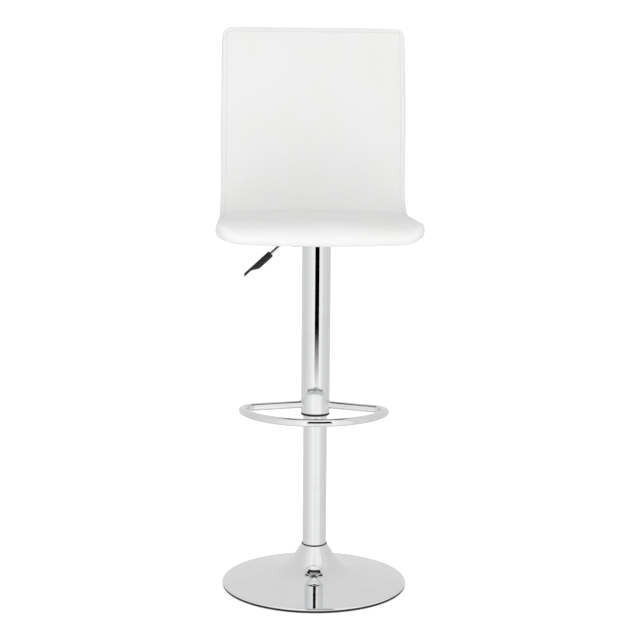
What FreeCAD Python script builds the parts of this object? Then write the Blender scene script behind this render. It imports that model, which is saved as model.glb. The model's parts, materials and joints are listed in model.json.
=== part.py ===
import FreeCAD, Part
import math
import os
import re
import Sketcher
from FreeCAD import Placement, Rotation, Vector

# Adjustable swivel bar stool on a gas lift.
#
# Frame: millimetres, +Z up, the column's axis is the Z axis and the floor is Z = 0.
# The sitter faces -Y, so the front of the seat is at -Y and the release lever is at -X.
# The stool is drawn at its full height: the lift travels down from here.

# ---------------------------------------------------------------- driving sizes

SIZES = [
    # the round foot
    ("base_radius", 194.0, "outer radius of the pressed chrome foot"),
    ("base_sheet", 1.5, "sheet thickness of the chrome foot"),
    ("rim_bottom", 5.0, "height of the chrome rim above the floor"),
    ("rim_lip", 4.0, "height of the upright lip at the rim"),
    ("rim_round", 3.0, "rounding where the lip turns into the cone"),
    ("cone_slope", 10.6, "slope of the flat cone, degrees"),
    ("neck_slope", 61.0, "slope of the steep neck, degrees"),
    ("flare_radius", 85.0, "radius of the trumpet curve between cone and neck"),
    ("neck_radius", 28.0, "outer radius of the neck at its shoulder"),
    ("neck_height", 86.5, "height of the neck's shoulder"),
    ("neck_crown", 2.0, "rise from the shoulder to the column"),
    ("neck_round", 2.0, "rounding of the shoulder"),
    ("plate_radius", 184.0, "radius of the steel disc under the foot"),
    ("plate_sheet", 2.0, "thickness of that disc"),
    ("plate_height", 3.0, "height of the disc's underside above the floor"),
    ("rubber_inner", 178.0, "inner radius of the rubber edging"),
    ("rubber_set_back", 0.7, "how far the rubber stays inside the chrome rim"),
    ("rubber_rise", 1.4, "how far the rubber reaches up inside the rim"),
    ("weight_inner", 90.0, "inner radius of the cast ballast ring"),
    ("weight_outer", 155.0, "outer radius of the ballast ring"),
    ("weight_height", 8.0, "thickness of the ballast ring"),
    ("socket_wall", 4.0, "wall of the socket that holds the lower column"),
    ("socket_height", 55.0, "height of that socket above the disc"),
    ("socket_flange", 60.0, "radius of the socket's flange"),
    ("flange_sheet", 4.0, "thickness of the socket's flange"),
    ("base_bolt_circle", 45.0, "radius of the circle of bolts in the flange"),
    ("base_bolt_radius", 3.0, "shank radius of those bolts"),
    ("base_bolt_head", 5.5, "head radius of those bolts"),
    ("base_head_height", 2.2, "head height of those bolts"),
    ("ring_width", 2.0, "width of the black ring on top of the neck"),
    ("ring_height", 1.0, "height of the black ring"),
    # the two telescoping columns
    ("lower_radius", 25.0, "outer radius of the lower column"),
    ("lower_wall", 2.0, "wall of the lower column"),
    ("lower_top", 485.0, "height of the lower column's upper end"),
    ("column_step", 5.0, "how much larger the upper column's radius is"),
    ("upper_wall", 1.5, "wall of the upper column"),
    ("upper_bottom", 372.0, "height of the upper column's lower end"),
    ("column_gap", 0.3, "radial gap between parts that slide past each other"),
    ("end_ring_height", 5.0, "visible height of the black ring at the upper column's end"),
    ("end_ring_plug", 20.0, "height of that ring inside the upper column"),
    ("bush_height", 57.0, "length of the guide bush inside the lower column"),
    ("bush_flange", 5.0, "thickness of the bush's flange on the lower column"),
    ("bush_skirt", 20.0, "length of the bush's skirt around the lower column"),
    ("slide_fit", 0.1, "radial clearance of the cylinder in its guide bush"),
    ("collar_height", 15.0, "height of the collar between column and taper socket"),
    # the gas spring
    ("cylinder_radius", 14.0, "outer radius of the gas cylinder"),
    ("cylinder_bore", 11.0, "bore radius of the gas cylinder"),
    ("cylinder_length", 457.0, "length of the gas cylinder"),
    ("taper_length", 45.0, "length of the tapered top of the cylinder"),
    ("taper_tip", 12.9, "outer radius at the tip of the taper"),
    ("taper_stand_out", 1.0, "how far the cylinder stands above the tray's underside"),
    ("rod_radius", 5.0, "radius of the piston rod"),
    ("rod_fit", 0.05, "radial clearance of the rod in its guide"),
    ("stud_radius", 4.0, "radius of the rod's stepped lower end"),
    ("stud_drop", 10.0, "length of the rod's end below the column's floor"),
    ("piston_height", 12.0, "height of the piston"),
    ("piston_gap", 0.1, "radial clearance of the piston"),
    ("guide_height", 15.0, "height of the rod guide in the cylinder's mouth"),
    ("stop_gap", 3.0, "space between the rod guide and the piston at full height"),
    ("valve_depth", 27.0, "how far the valve block's bore goes below the cylinder's top"),
    ("valve_height", 30.0, "height of the valve block"),
    ("pin_radius", 4.0, "radius of the release pin"),
    ("pin_length", 22.0, "length of the release pin"),
    ("pin_stand_out", 6.0, "how far the release pin stands above the cylinder"),
    ("pin_dome", 2.0, "rounding of the release pin's top"),
    ("pin_fit", 0.05, "radial clearance of the release pin"),
    # the thrust bearing that lets the column turn
    ("floor_height", 20.0, "height of the underside of the column's floor"),
    ("floor_thickness", 6.0, "thickness of the column's floor"),
    ("race_thickness", 3.0, "thickness of each bearing race"),
    ("race_radius", 20.0, "outer radius of the races"),
    ("race_bore", 8.0, "bore radius of the lower race"),
    ("ball_radius", 2.5, "radius of the bearing balls"),
    ("ball_circle", 15.0, "radius of the circle of balls"),
    ("groove_depth", 0.6, "depth of the groove in each race"),
    ("groove_gap", 0.05, "clearance of a ball in its groove and cage"),
    ("cage_height", 1.6, "height of the ball cage"),
    ("cage_width", 8.0, "radial width of the ball cage"),
    ("bump_radius", 13.0, "outer radius of the rubber bump stop"),
    ("bump_height", 14.0, "height of the rubber bump stop"),
    ("washer_radius", 12.0, "outer radius of the washer under the column's floor"),
    ("washer_height", 1.5, "thickness of that washer"),
    ("clip_radius", 7.0, "outer radius of the retaining clip"),
    ("clip_height", 1.4, "thickness of the retaining clip"),
    ("clip_groove", 0.8, "depth of the clip's groove in the rod"),
    ("turn_gap", 0.3, "gap between flat faces that turn on each other"),
    # the steel frame under the seat
    ("tray_length", 104.0, "outer size of the pressed tray along X"),
    ("tray_width", 84.0, "outer size of the pressed tray along Y"),
    ("tray_depth", 24.0, "depth of the tray, flange included"),
    ("tray_sheet", 3.0, "sheet thickness of the tray"),
    ("tray_round", 8.0, "corner rounding of the tray in plan"),
    ("tray_flange_length", 200.0, "size of the tray's flange along X"),
    ("tray_flange_width", 160.0, "size of the tray's flange along Y"),
    ("socket_radius", 19.0, "outer radius of the taper socket"),
    ("socket_drop", 20.0, "length of the taper socket below the tray"),
    ("seat_bolt_x", 85.0, "seat bolts, distance from the middle along X"),
    ("seat_bolt_y", 65.0, "seat bolts, distance from the middle along Y"),
    ("seat_bolt_radius", 3.0, "shank radius of the seat bolts"),
    ("bolt_shortfall", 1.9, "how far the seat bolts end below the tee nuts' tops"),
    ("seat_bolt_head", 5.0, "head radius of the seat bolts"),
    ("seat_head_height", 3.6, "head height of the seat bolts"),
    ("seat_washer_radius", 8.0, "outer radius of the seat washers"),
    ("seat_washer_height", 1.2, "thickness of the seat washers"),
    ("hole_gap", 0.3, "radial clearance of a bolt in its hole"),
    ("nut_barrel", 4.4, "barrel radius of the tee nuts"),
    ("nut_flange", 9.0, "flange radius of the tee nuts"),
    ("nut_sheet", 1.2, "flange thickness of the tee nuts"),
    # the release lever
    ("lever_radius", 3.5, "radius of the lever's rod"),
    ("lever_play", 0.3, "gap between lever and release pin at rest"),
    ("lever_overrun", 6.0, "how far the lever reaches past the column's axis"),
    ("pivot_reach", 30.0, "distance of the lever's pivot from the column's axis"),
    ("pivot_radius", 1.5, "radius of the pivot pin"),
    ("pivot_overhang", 1.0, "how far the pivot pin stands out of each ear"),
    ("pivot_fit", 0.06, "radial clearance of the pivot pin in the lever"),
    ("ear_gap", 10.0, "space between the two ears of the lever's bracket"),
    ("ear_sheet", 3.0, "thickness of each ear"),
    ("ear_length", 14.0, "length of each ear along the lever"),
    ("ear_height", 13.0, "height of each ear above the tray's floor"),
    ("slot_width", 9.0, "width of the lever's slot in the tray"),
    ("lever_run", 58.0, "distance from the column's axis to the lever's bend"),
    ("lever_bend", 12.0, "bend radius of the lever's rod"),
    ("lever_angle", 42.5, "how far the lever is bent down, degrees"),
    ("lever_shank", 110.0, "straight length of the rod after its bend"),
    ("grip_length", 72.0, "length of the grip"),
    ("grip_depth", 40.0, "how far the rod goes into the grip"),
    ("grip_thickness", 14.0, "thickness of the grip near the rod"),
    ("grip_blade", 5.5, "thickness of the grip's blade at its tip"),
    ("grip_width", 24.0, "width of the grip"),
    ("grip_shoulder", 42.0, "length of the thick part of the grip"),
    ("grip_round", 2.4, "rounding of the grip's edges"),
    # the footrest loop
    ("rest_height", 390.0, "height of the footrest's centreline"),
    ("rest_radius", 8.0, "radius of the footrest's tube"),
    ("rest_wall", 1.5, "wall of the footrest's tube"),
    ("spoke_angle", 21.0, "how far the spokes point forward, degrees"),
    ("rest_bend", 36.0, "radius of the two corner bends"),
    ("rest_turn", 5.0, "how far the footrest is turned from straight ahead, degrees"),
    ("rest_arc", 151.0, "radius of the long front arc"),
    ("rest_forward", 46.0, "distance of the front arc's centre ahead of the column"),
    # the upholstered seat, one bent strip from the front lip to the top of the back
    ("seat_width", 412.0, "width of the seat"),
    ("pad_thickness", 33.0, "thickness of the upholstered strip"),
    ("seat_underside", 747.0, "height of the underside of the seat"),
    ("flat_front", 160.0, "distance from the column's axis to the start of the front lip"),
    ("flat_back", 105.0, "distance from the column's axis to the start of the bend"),
    ("lip_radius", 50.0, "middle radius of the front lip"),
    ("lip_turn", 36.0, "how far the front lip turns down, degrees"),
    ("nose_length", 16.5, "straight end of the front lip"),
    ("bend_radius", 80.0, "middle radius of the bend from seat to back"),
    ("bend_turn", 92.0, "turn of that bend, degrees"),
    ("back_straight", 60.0, "straight stretch above the bend"),
    ("sweep_radius", 700.0, "radius of the backward sweep of the back"),
    ("sweep_turn", 14.0, "turn of the backward sweep, degrees"),
    ("top_straight", 103.0, "straight stretch at the top of the back"),
    ("corner_front", 46.0, "corner radius of the seat in plan"),
    ("corner_top", 20.0, "corner radius of the top of the back"),
    ("pad_round", 12.0, "rounding of the pad's edges"),
    ("skin", 1.2, "thickness of the cover"),
    ("core_inset", 10.5, "how far the plywood core lies inside the pad"),
]

BALLS = 12
BASE_BOLTS = 4

# ---------------------------------------------------------------- places worked out from the sizes

PLACES = {
    "lip_top": "rim_bottom + rim_lip",
    "crease_radius": "(neck_height + neck_radius * tan(neck_slope * 1deg) - lip_top"
                     " - base_radius * tan(cone_slope * 1deg))"
                     " / (tan(neck_slope * 1deg) - tan(cone_slope * 1deg))",
    "crease_height": "lip_top + (base_radius - crease_radius) * tan(cone_slope * 1deg)",
    "cone_drop": "base_sheet / cos(cone_slope * 1deg)",
    "neck_drop": "base_sheet / cos(neck_slope * 1deg)",
    "inner_crease": "crease_radius - (neck_drop - cone_drop)"
                    " / (tan(neck_slope * 1deg) - tan(cone_slope * 1deg))",
    "sliding_bore": "lower_radius + column_gap",
    "neck_top": "neck_height + neck_crown",
    "plate_top": "plate_height + plate_sheet",
    "flange_top": "plate_top + flange_sheet",
    "lower_bore": "lower_radius - lower_wall",
    "upper_radius": "lower_radius + column_step",
    "upper_bore": "upper_radius - upper_wall",
    "bush_top": "lower_top + bush_flange",
    "floor_top": "floor_height + floor_thickness",
    "race_top": "floor_top + race_thickness",
    "ball_height": "race_top - groove_depth + groove_gap + ball_radius",
    "upper_race": "ball_height + ball_radius + groove_gap - groove_depth",
    "upper_race_top": "upper_race + race_thickness",
    "bump_top": "upper_race_top + bump_height",
    "stud_end": "floor_height - stud_drop",
    "washer_top": "floor_height - turn_gap",
    "clip_top": "washer_top - washer_height",
    "tray_top": "seat_underside",
    "tray_bottom": "tray_top - tray_depth",
    "tray_floor": "tray_bottom + tray_sheet",
    "flange_bottom": "tray_top - tray_sheet",
    "cylinder_top": "tray_bottom + taper_stand_out",
    "cylinder_bottom": "cylinder_top - cylinder_length",
    "taper_bottom": "cylinder_top - taper_length",
    "guide_top": "cylinder_bottom + guide_height",
    "piston_bottom": "guide_top + stop_gap",
    "pin_top": "cylinder_top + pin_stand_out",
    "pin_bottom": "pin_top - pin_length",
    "lever_height": "pin_top + lever_play + lever_radius",
    "ear_top": "tray_floor + ear_height",
    "seat_middle": "seat_underside + pad_thickness / 2",
    "core_top": "seat_middle + pad_thickness / 2 - core_inset",
    "core_bottom": "seat_underside + core_inset",
    "bolt_head_top": "flange_bottom - seat_washer_height",
    "spoke_reach": "rest_forward * sin(spoke_angle * 1deg) + sqrt((rest_arc - rest_bend) ^ 2"
                   " - (rest_bend - rest_forward * cos(spoke_angle * 1deg)) ^ 2)",
    "corner_offset": "spoke_reach * cos(spoke_angle * 1deg) - rest_bend * sin(spoke_angle * 1deg)",
    "arc_half": "asin(corner_offset / (rest_arc - rest_bend)) / 1deg",
    "spoke_start": "lower_radius",
    "first_spoke": "spoke_angle + rest_turn",
    "nose_lead": "lip_radius * sin(lip_turn * 1deg)",
    "seat_front": "flat_front + nose_lead + pad_thickness / 2",
    "heading_top": "bend_turn - sweep_turn",
    "seat_top": "seat_middle + bend_radius * (1 - cos(bend_turn * 1deg))"
                " + back_straight * sin(bend_turn * 1deg)"
                " + sweep_radius * (cos(heading_top * 1deg) - cos(bend_turn * 1deg))"
                " + top_straight * sin(heading_top * 1deg)",
}

doc = FreeCAD.newDocument("bar_stool")
sheet = doc.addObject("Spreadsheet::Sheet", "sizes")
for row, (alias, value, meaning) in enumerate(SIZES, start=1):
    sheet.set("A%d" % row, meaning)
    sheet.set("B%d" % row, str(value))
    sheet.setAlias("B%d" % row, alias)
doc.recompute()

ALIASES = {alias for alias, value, meaning in SIZES}
subparts = []


# ---------------------------------------------------------------- helpers

def bound(formula):
    """Turn a formula written in plain words into an expression on the sheet."""
    def swap(match):
        word = match.group()
        if word in PLACES:
            return "(" + bound(PLACES[word]) + ")"
        if word in ALIASES:
            return "sizes." + word
        return word
    return re.sub(r"[a-z_]+", swap, str(formula))


def number(formula):
    """The value of a formula, as a plain number."""
    value = sheet.evalExpression(bound(formula))
    return float(getattr(value, "Value", value))


def bind(thing, formulas):
    """Tie properties of a document object to formulas on the sheet."""
    for name, formula in formulas.items():
        thing.setExpression(name, bound(formula))
    return thing


def subpart(thing, name):
    """Register a finished piece under the name that its file gets."""
    thing.Label = name
    subparts.append(thing)
    return thing


def origin_plane(body, role):
    return next(f for f in body.Origin.OriginFeatures if f.Role == role)


def sketch_on(body, role, name):
    """An empty sketch on one of the body's own origin planes."""
    sketch = body.newObject("Sketcher::SketchObject", name)
    sketch.AttachmentSupport = [(origin_plane(body, role), "")]
    sketch.MapMode = "FlatFace"
    return sketch


def constrain(sketch, kind, *arguments):
    """Add a constraint whose last argument is a formula, and tie it to that formula."""
    factor = " * 1deg" if kind == "Angle" else ""
    value = number(arguments[-1])
    value = math.radians(value) if factor else value
    index = sketch.addConstraint(Sketcher.Constraint(kind, *arguments[:-1], value))
    sketch.setExpression("Constraints[%d]" % index, "(" + bound(arguments[-1]) + ")" + factor)


def polygon(sketch, corners):
    """A closed outline through corners that are formulas of the sketch's own x and y."""
    points = [Vector(number(x), number(y), 0) for x, y in corners]
    count = len(points)
    lines = [Part.LineSegment(points[i], points[(i + 1) % count]) for i in range(count)]
    sketch.addGeometry(lines, False)
    for i in range(count):
        sketch.addConstraint(Sketcher.Constraint("Coincident", i, 2, (i + 1) % count, 1))
    for i, (x, y) in enumerate(corners):
        constrain(sketch, "DistanceX", -1, 1, i, 1, x)
        constrain(sketch, "DistanceY", -1, 1, i, 1, y)


def turned(name, outline):
    """A body turned about the column's axis from an outline of radii and heights."""
    body = doc.addObject("PartDesign::Body", name)
    sketch = sketch_on(body, "XZ_Plane", name + "_outline")
    polygon(sketch, outline)
    turn = body.newObject("PartDesign::Revolution", name + "_turn")
    turn.Profile = sketch
    turn.ReferenceAxis = (sketch, ["V_Axis"])
    turn.Angle = 360
    doc.recompute()
    return body


def ring(name, inner, outer, low, high):
    """A plain turned ring or, with an inner radius of zero, a disc."""
    return turned(name, [(inner, low), (outer, low), (outer, high), (inner, high)])


def edges_where(shape, test):
    """The names of the edges that pass a test."""
    return ["Edge%d" % i for i, edge in enumerate(shape.Edges, start=1) if test(edge)]


def circle_at(radius, height):
    """A test for the turned edge at a radius and a height."""
    wanted_radius = number(radius)
    wanted_height = number(height)

    def test(edge):
        box = edge.BoundBox
        flat = box.ZLength < 0.01 and abs(box.ZMin - wanted_height) < 0.01
        return flat and abs(box.XMax - wanted_radius) < 0.01 and abs(box.YMax - wanted_radius) < 0.01
    return test


def body_fillet(body, test, radius):
    """Round the edges of a body's last feature that pass a test."""
    base = body.Tip
    names = edges_where(base.Shape, test)
    fillet = body.newObject("PartDesign::Fillet", body.Name + "_round")
    fillet.Base = (base, names)
    bind(fillet, {"Radius": radius})
    body.Tip = fillet
    doc.recompute()


def cylinder(name, radius, low, high, x="0", y="0"):
    """An upright cylinder between two heights."""
    return bind(doc.addObject("Part::Cylinder", name), {
        "Radius": radius, "Height": "(%s) - (%s)" % (high, low),
        "Placement.Base.x": x, "Placement.Base.y": y, "Placement.Base.z": low})


def crossbar(name, radius, length, x, height):
    """A cylinder along Y, centred on the XZ plane."""
    bar = doc.addObject("Part::Cylinder", name)
    bar.Placement = Placement(Vector(), Rotation(Vector(1, 0, 0), -90))
    return bind(bar, {"Radius": radius, "Height": length, "Placement.Base.x": x,
                      "Placement.Base.y": "-(%s) / 2" % length, "Placement.Base.z": height})


def block(name, length, width, low, high, x="0", y="0"):
    """An upright block between two heights, centred on x and y."""
    return bind(doc.addObject("Part::Box", name), {
        "Length": length, "Width": width, "Height": "(%s) - (%s)" % (high, low),
        "Placement.Base.x": "(%s) - (%s) / 2" % (x, length),
        "Placement.Base.y": "(%s) - (%s) / 2" % (y, width), "Placement.Base.z": low})


def joined(name, pieces):
    fusion = doc.addObject("Part::MultiFuse", name)
    fusion.Shapes = pieces
    return fusion


def cut(name, whole, tools):
    """The whole less its tools."""
    result = doc.addObject("Part::Cut", name)
    result.Base = whole
    result.Tool = tools[0] if len(tools) == 1 else joined(name + "_tools", tools)
    return result


def rounded(name, thing, test, radius):
    """A Part fillet on the edges that pass a test."""
    doc.recompute()
    fillet = doc.addObject("Part::Fillet", name)
    fillet.Base = thing
    size = number(radius)
    fillet.Edges = [(int(edge[4:]), size, size) for edge in edges_where(thing.Shape, test)]
    return fillet


def path(body, role, name, start, heading, steps):
    """A smooth path of lines and tangent arcs, drawn as a turtle would.

    Each step is (length,) for a line or (radius, turn, side) for an arc, where side is +1
    for a turn to the left. A formula gives every length, radius and turn.
    """
    sketch = sketch_on(body, role, name)
    place = Vector(number(start[0]), number(start[1]), 0)
    angle = math.radians(number(heading))
    for index, step in enumerate(steps):
        ahead = Vector(math.cos(angle), math.sin(angle), 0)
        if len(step) == 1:
            tip = place + ahead * number(step[0])
            sketch.addGeometry(Part.LineSegment(place, tip), False)
            first, last = 1, 2
        else:
            radius, turn, side = number(step[0]), math.radians(number(step[1])), step[2]
            left = Vector(-ahead.y, ahead.x, 0) * side
            centre = place + left * radius
            tip = centre - Rotation(Vector(0, 0, side), math.degrees(turn)).multVec(left) * radius
            spans = [math.atan2(p.y - centre.y, p.x - centre.x) for p in (place, tip)]
            if side < 0:
                spans.reverse()
            if spans[1] < spans[0]:
                spans[1] += 2 * math.pi
            sketch.addGeometry(Part.ArcOfCircle(Part.Circle(centre, Vector(0, 0, 1), radius), *spans), False)
            first, last = (1, 2) if side > 0 else (2, 1)
            angle += side * turn
        if index == 0:
            constrain(sketch, "DistanceX", -1, 1, 0, 1, start[0])
            constrain(sketch, "DistanceY", -1, 1, 0, 1, start[1])
            constrain(sketch, "Angle", 0, heading)
        else:
            sketch.addConstraint(Sketcher.Constraint("Tangent", index - 1, joint, index, first))
        if len(step) == 1:
            constrain(sketch, "Distance", index, step[0])
        else:
            constrain(sketch, "Radius", index, step[0])
            constrain(sketch, "Angle", index, step[1])
        joint = last
        place = tip
    return sketch


def tube(name, role, start, heading, steps, radius, bore=None):
    """A round bar or tube along a path, its section drawn square to the path's start."""
    body = doc.addObject("PartDesign::Body", name)
    spine = path(body, role, name + "_path", start, heading, steps)
    doc.recompute()
    section = body.newObject("Sketcher::SketchObject", name + "_section")
    section.AttachmentSupport = [(spine, "Edge1")]
    section.MapMode = "NormalToEdge"
    for index, size in enumerate([radius] + ([bore] if bore else [])):
        section.addGeometry(Part.Circle(Vector(), Vector(0, 0, 1), number(size)), False)
        section.addConstraint(Sketcher.Constraint("Coincident", index, 3, -1, 1))
        constrain(section, "Radius", index, size)
    pipe = body.newObject("PartDesign::AdditivePipe", name + "_pipe")
    pipe.Profile = section
    pipe.Spine = (spine, [])
    doc.recompute()
    return body


# ---------------------------------------------------------------- the round foot

def foot_body(name, outline, flare, rim, shoulder):
    """The foot's outline turned about the column, with its three roundings."""
    body = turned(name, outline)
    for (radius, height), size in zip((outline[3], outline[2], outline[4]), (flare, rim, shoulder)):
        body_fillet(body, circle_at(radius, height), size)
    return body


def base_shell():
    """The pressed foot: lip, flat cone, trumpet flare and neck in one sheet."""
    outside = foot_body("foot_outside", [
        ("sliding_bore", "rim_bottom"), ("base_radius", "rim_bottom"), ("base_radius", "lip_top"),
        ("crease_radius", "crease_height"), ("neck_radius", "neck_height"), ("sliding_bore", "neck_top")],
        "flare_radius", "rim_round", "neck_round")
    inside = foot_body("foot_inside", [
        ("sliding_bore", "rim_bottom"), ("base_radius - base_sheet", "rim_bottom"),
        ("base_radius - base_sheet", "lip_top + base_sheet * tan(cone_slope * 1deg) - cone_drop"),
        ("inner_crease", "lip_top - cone_drop + (base_radius - inner_crease) * tan(cone_slope * 1deg)"),
        ("neck_radius + (base_sheet - neck_drop) / tan(neck_slope * 1deg)", "neck_height - base_sheet"),
        ("sliding_bore", "neck_top - base_sheet")],
        "flare_radius + base_sheet", "rim_round - base_sheet", "neck_round - base_sheet")
    subpart(cut("base_shell", outside, [inside]), "base_shell")


def base_floor():
    """The rubber edging, the disc that it holds and the ballast on the disc."""
    subpart(turned("floor_ring", [
        ("rubber_inner", "0"), ("base_radius - rubber_set_back", "0"),
        ("base_radius - rubber_set_back", "rim_bottom"),
        ("base_radius - base_sheet", "rim_bottom"),
        ("base_radius - base_sheet", "rim_bottom + rubber_rise"),
        ("plate_radius", "rim_bottom + rubber_rise"), ("plate_radius", "plate_height"),
        ("rubber_inner", "plate_height")]), "floor_ring")
    plate = cylinder("plate_disc", "plate_radius", "plate_height", "plate_top")
    subpart(cut("base_plate", plate, base_bolt_shanks("plate_hole", "hole_gap")), "base_plate")
    subpart(ring("base_weight", "weight_inner", "weight_outer", "plate_top",
                 "plate_top + weight_height"), "base_weight")
    socket = turned("socket_blank", [
        ("lower_radius", "plate_top"), ("socket_flange", "plate_top"), ("socket_flange", "flange_top"),
        ("lower_radius + socket_wall", "flange_top"),
        ("lower_radius + socket_wall", "plate_top + socket_height"),
        ("lower_radius", "plate_top + socket_height")])
    subpart(cut("base_socket", socket, base_bolt_shanks("socket_hole", "0")), "base_socket")
    shanks = base_bolt_shanks("base_shank", "0")
    for i, (shank, x, y) in enumerate(zip(shanks, *zip(*base_bolt_places())), start=1):
        head = cylinder("base_head_%d" % i, "base_bolt_head", "plate_height - base_head_height",
                        "plate_height", x, y)
        subpart(joined("base_bolt_%d" % i, [shank, head]), "base_bolt_%d" % i)
    subpart(ring("neck_ring", "lower_radius", "lower_radius + ring_width", "neck_top",
                 "neck_top + ring_height"), "neck_ring")


def base_bolt_places():
    """The bolts' places around the socket, as formulas of x and y."""
    for i in range(BASE_BOLTS):
        angle = 360 / BASE_BOLTS * (i + 0.5)
        yield "base_bolt_circle * cos(%g * 1deg)" % angle, "base_bolt_circle * sin(%g * 1deg)" % angle


def base_bolt_shanks(name, gap):
    """One cylinder per bolt: its shank, or with a gap the hole that it goes through."""
    return [cylinder("%s_%d" % (name, i), "base_bolt_radius + " + gap, "plate_height", "flange_top", x, y)
            for i, (x, y) in enumerate(base_bolt_places(), start=1)]


# ---------------------------------------------------------------- the two columns

def columns():
    """The telescoping tubes with their bush, floor, black end ring and collar."""
    subpart(ring("lower_column", "lower_bore", "lower_radius", "plate_top", "lower_top"), "lower_column")
    subpart(ring("column_floor", "stud_radius + column_gap", "lower_bore", "floor_height",
                 "floor_top"), "column_floor")
    subpart(turned("guide_bush", [
        ("cylinder_radius + slide_fit", "bush_top - bush_flange - bush_height"),
        ("lower_bore", "bush_top - bush_flange - bush_height"), ("lower_bore", "lower_top"),
        ("lower_radius", "lower_top"), ("lower_radius", "lower_top - bush_skirt"),
        ("upper_bore - column_gap", "lower_top - bush_skirt"), ("upper_bore - column_gap", "bush_top"),
        ("cylinder_radius + slide_fit", "bush_top")]), "guide_bush")
    subpart(ring("upper_column", "upper_bore", "upper_radius", "upper_bottom", "tray_bottom"),
            "upper_column")
    subpart(turned("column_end_ring", [
        ("sliding_bore", "upper_bottom - end_ring_height"),
        ("upper_radius", "upper_bottom - end_ring_height"), ("upper_radius", "upper_bottom"),
        ("upper_bore", "upper_bottom"), ("upper_bore", "upper_bottom + end_ring_plug"),
        ("sliding_bore", "upper_bottom + end_ring_plug")]), "column_end_ring")
    subpart(ring("column_collar", "socket_radius", "upper_bore", "tray_bottom - collar_height",
                 "tray_bottom"), "column_collar")


# ---------------------------------------------------------------- the thrust bearing and the gas spring

def race(name, bore, low, groove):
    """A flat washer with the groove that the balls run in."""
    body = ring(name, bore, "race_radius", low, "%s + race_thickness" % low)
    sketch = sketch_on(body, "XZ_Plane", name + "_groove_outline")
    sketch.addGeometry(Part.Circle(Vector(number("ball_circle"), number(groove), 0), Vector(0, 0, 1),
                                   number("ball_radius + groove_gap")), False)
    constrain(sketch, "DistanceX", -1, 1, 0, 3, "ball_circle")
    constrain(sketch, "DistanceY", -1, 1, 0, 3, groove)
    constrain(sketch, "Radius", 0, "ball_radius + groove_gap")
    cutter = body.newObject("PartDesign::Groove", name + "_groove")
    cutter.Profile = sketch
    cutter.ReferenceAxis = (sketch, ["V_Axis"])
    cutter.Angle = 360
    body.Tip = cutter
    subpart(body, name)


def ball(name, index, extra):
    """One ball in the circle, or with extra radius the pocket that holds it."""
    angle = 360 / BALLS * index
    return bind(doc.addObject("Part::Sphere", "%s_%d" % (name, index)), {
        "Radius": "ball_radius + " + extra,
        "Placement.Base.x": "ball_circle * cos(%g * 1deg)" % angle,
        "Placement.Base.y": "ball_circle * sin(%g * 1deg)" % angle,
        "Placement.Base.z": "ball_height"})


def bearing():
    """Two races, a cage and its balls, then washer and clip below the column's floor."""
    race("lower_race", "race_bore", "floor_top", "ball_height")
    race("upper_race", "stud_radius", "upper_race", "ball_height")
    balls = doc.addObject("Part::Compound", "bearing_balls")
    balls.Links = [ball("ball", i, "0") for i in range(BALLS)]
    subpart(balls, "bearing_balls")
    cage = ring("cage_blank", "ball_circle - cage_width / 2", "ball_circle + cage_width / 2",
                "ball_height - cage_height / 2", "ball_height + cage_height / 2")
    subpart(cut("ball_cage", cage, [ball("pocket", i, "groove_gap") for i in range(BALLS)]), "ball_cage")
    subpart(ring("bump_stop", "rod_radius", "bump_radius", "upper_race_top", "bump_top"), "bump_stop")
    subpart(ring("rod_washer", "stud_radius", "washer_radius", "clip_top", "washer_top"), "rod_washer")
    subpart(ring("rod_clip", "stud_radius - clip_groove", "clip_radius", "clip_top - clip_height",
                 "clip_top"), "rod_clip")


def gas_spring():
    """The cylinder with its tapered top, and the rod that stands on the bearing."""
    subpart(turned("gas_cylinder", [
        ("cylinder_bore", "cylinder_bottom"), ("cylinder_radius", "cylinder_bottom"),
        ("cylinder_radius", "taper_bottom"), ("taper_tip", "cylinder_top"),
        ("cylinder_bore", "cylinder_top")]), "gas_cylinder")
    subpart(ring("rod_guide", "rod_radius + rod_fit", "cylinder_bore", "cylinder_bottom",
                 "guide_top"), "rod_guide")
    subpart(turned("valve_block", [
        ("0", "cylinder_top - valve_height"), ("cylinder_bore", "cylinder_top - valve_height"),
        ("cylinder_bore", "cylinder_top"), ("pin_radius + pin_fit", "cylinder_top"),
        ("pin_radius + pin_fit", "cylinder_top - valve_depth"),
        ("0", "cylinder_top - valve_depth")]), "valve_block")
    subpart(turned("piston_rod", [
        ("0", "stud_end"), ("stud_radius", "stud_end"), ("stud_radius", "clip_top - clip_height"),
        ("stud_radius - clip_groove", "clip_top - clip_height"), ("stud_radius - clip_groove", "clip_top"),
        ("stud_radius", "clip_top"), ("stud_radius", "upper_race_top"), ("rod_radius", "upper_race_top"),
        ("rod_radius", "piston_bottom"), ("0", "piston_bottom")]), "piston_rod")
    subpart(ring("piston", "0", "cylinder_bore - piston_gap", "piston_bottom",
                 "piston_bottom + piston_height"), "piston")
    pin = ring("release_pin", "0", "pin_radius", "pin_bottom", "pin_top")
    body_fillet(pin, circle_at("pin_radius", "pin_top"), "pin_dome")
    subpart(pin, "release_pin")


# ---------------------------------------------------------------- the steel frame under the seat

def seat_bolt_places():
    """The four bolts' places under the seat, as formulas of x and y."""
    for x in ("-seat_bolt_x", "seat_bolt_x"):
        for y in ("-seat_bolt_y", "seat_bolt_y"):
            yield x, y


def seat_holes(name, radius, low, high):
    """One cylinder per seat bolt between two heights."""
    return [cylinder("%s_%d" % (name, i), radius, low, high, x, y)
            for i, (x, y) in enumerate(seat_bolt_places(), start=1)]


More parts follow.
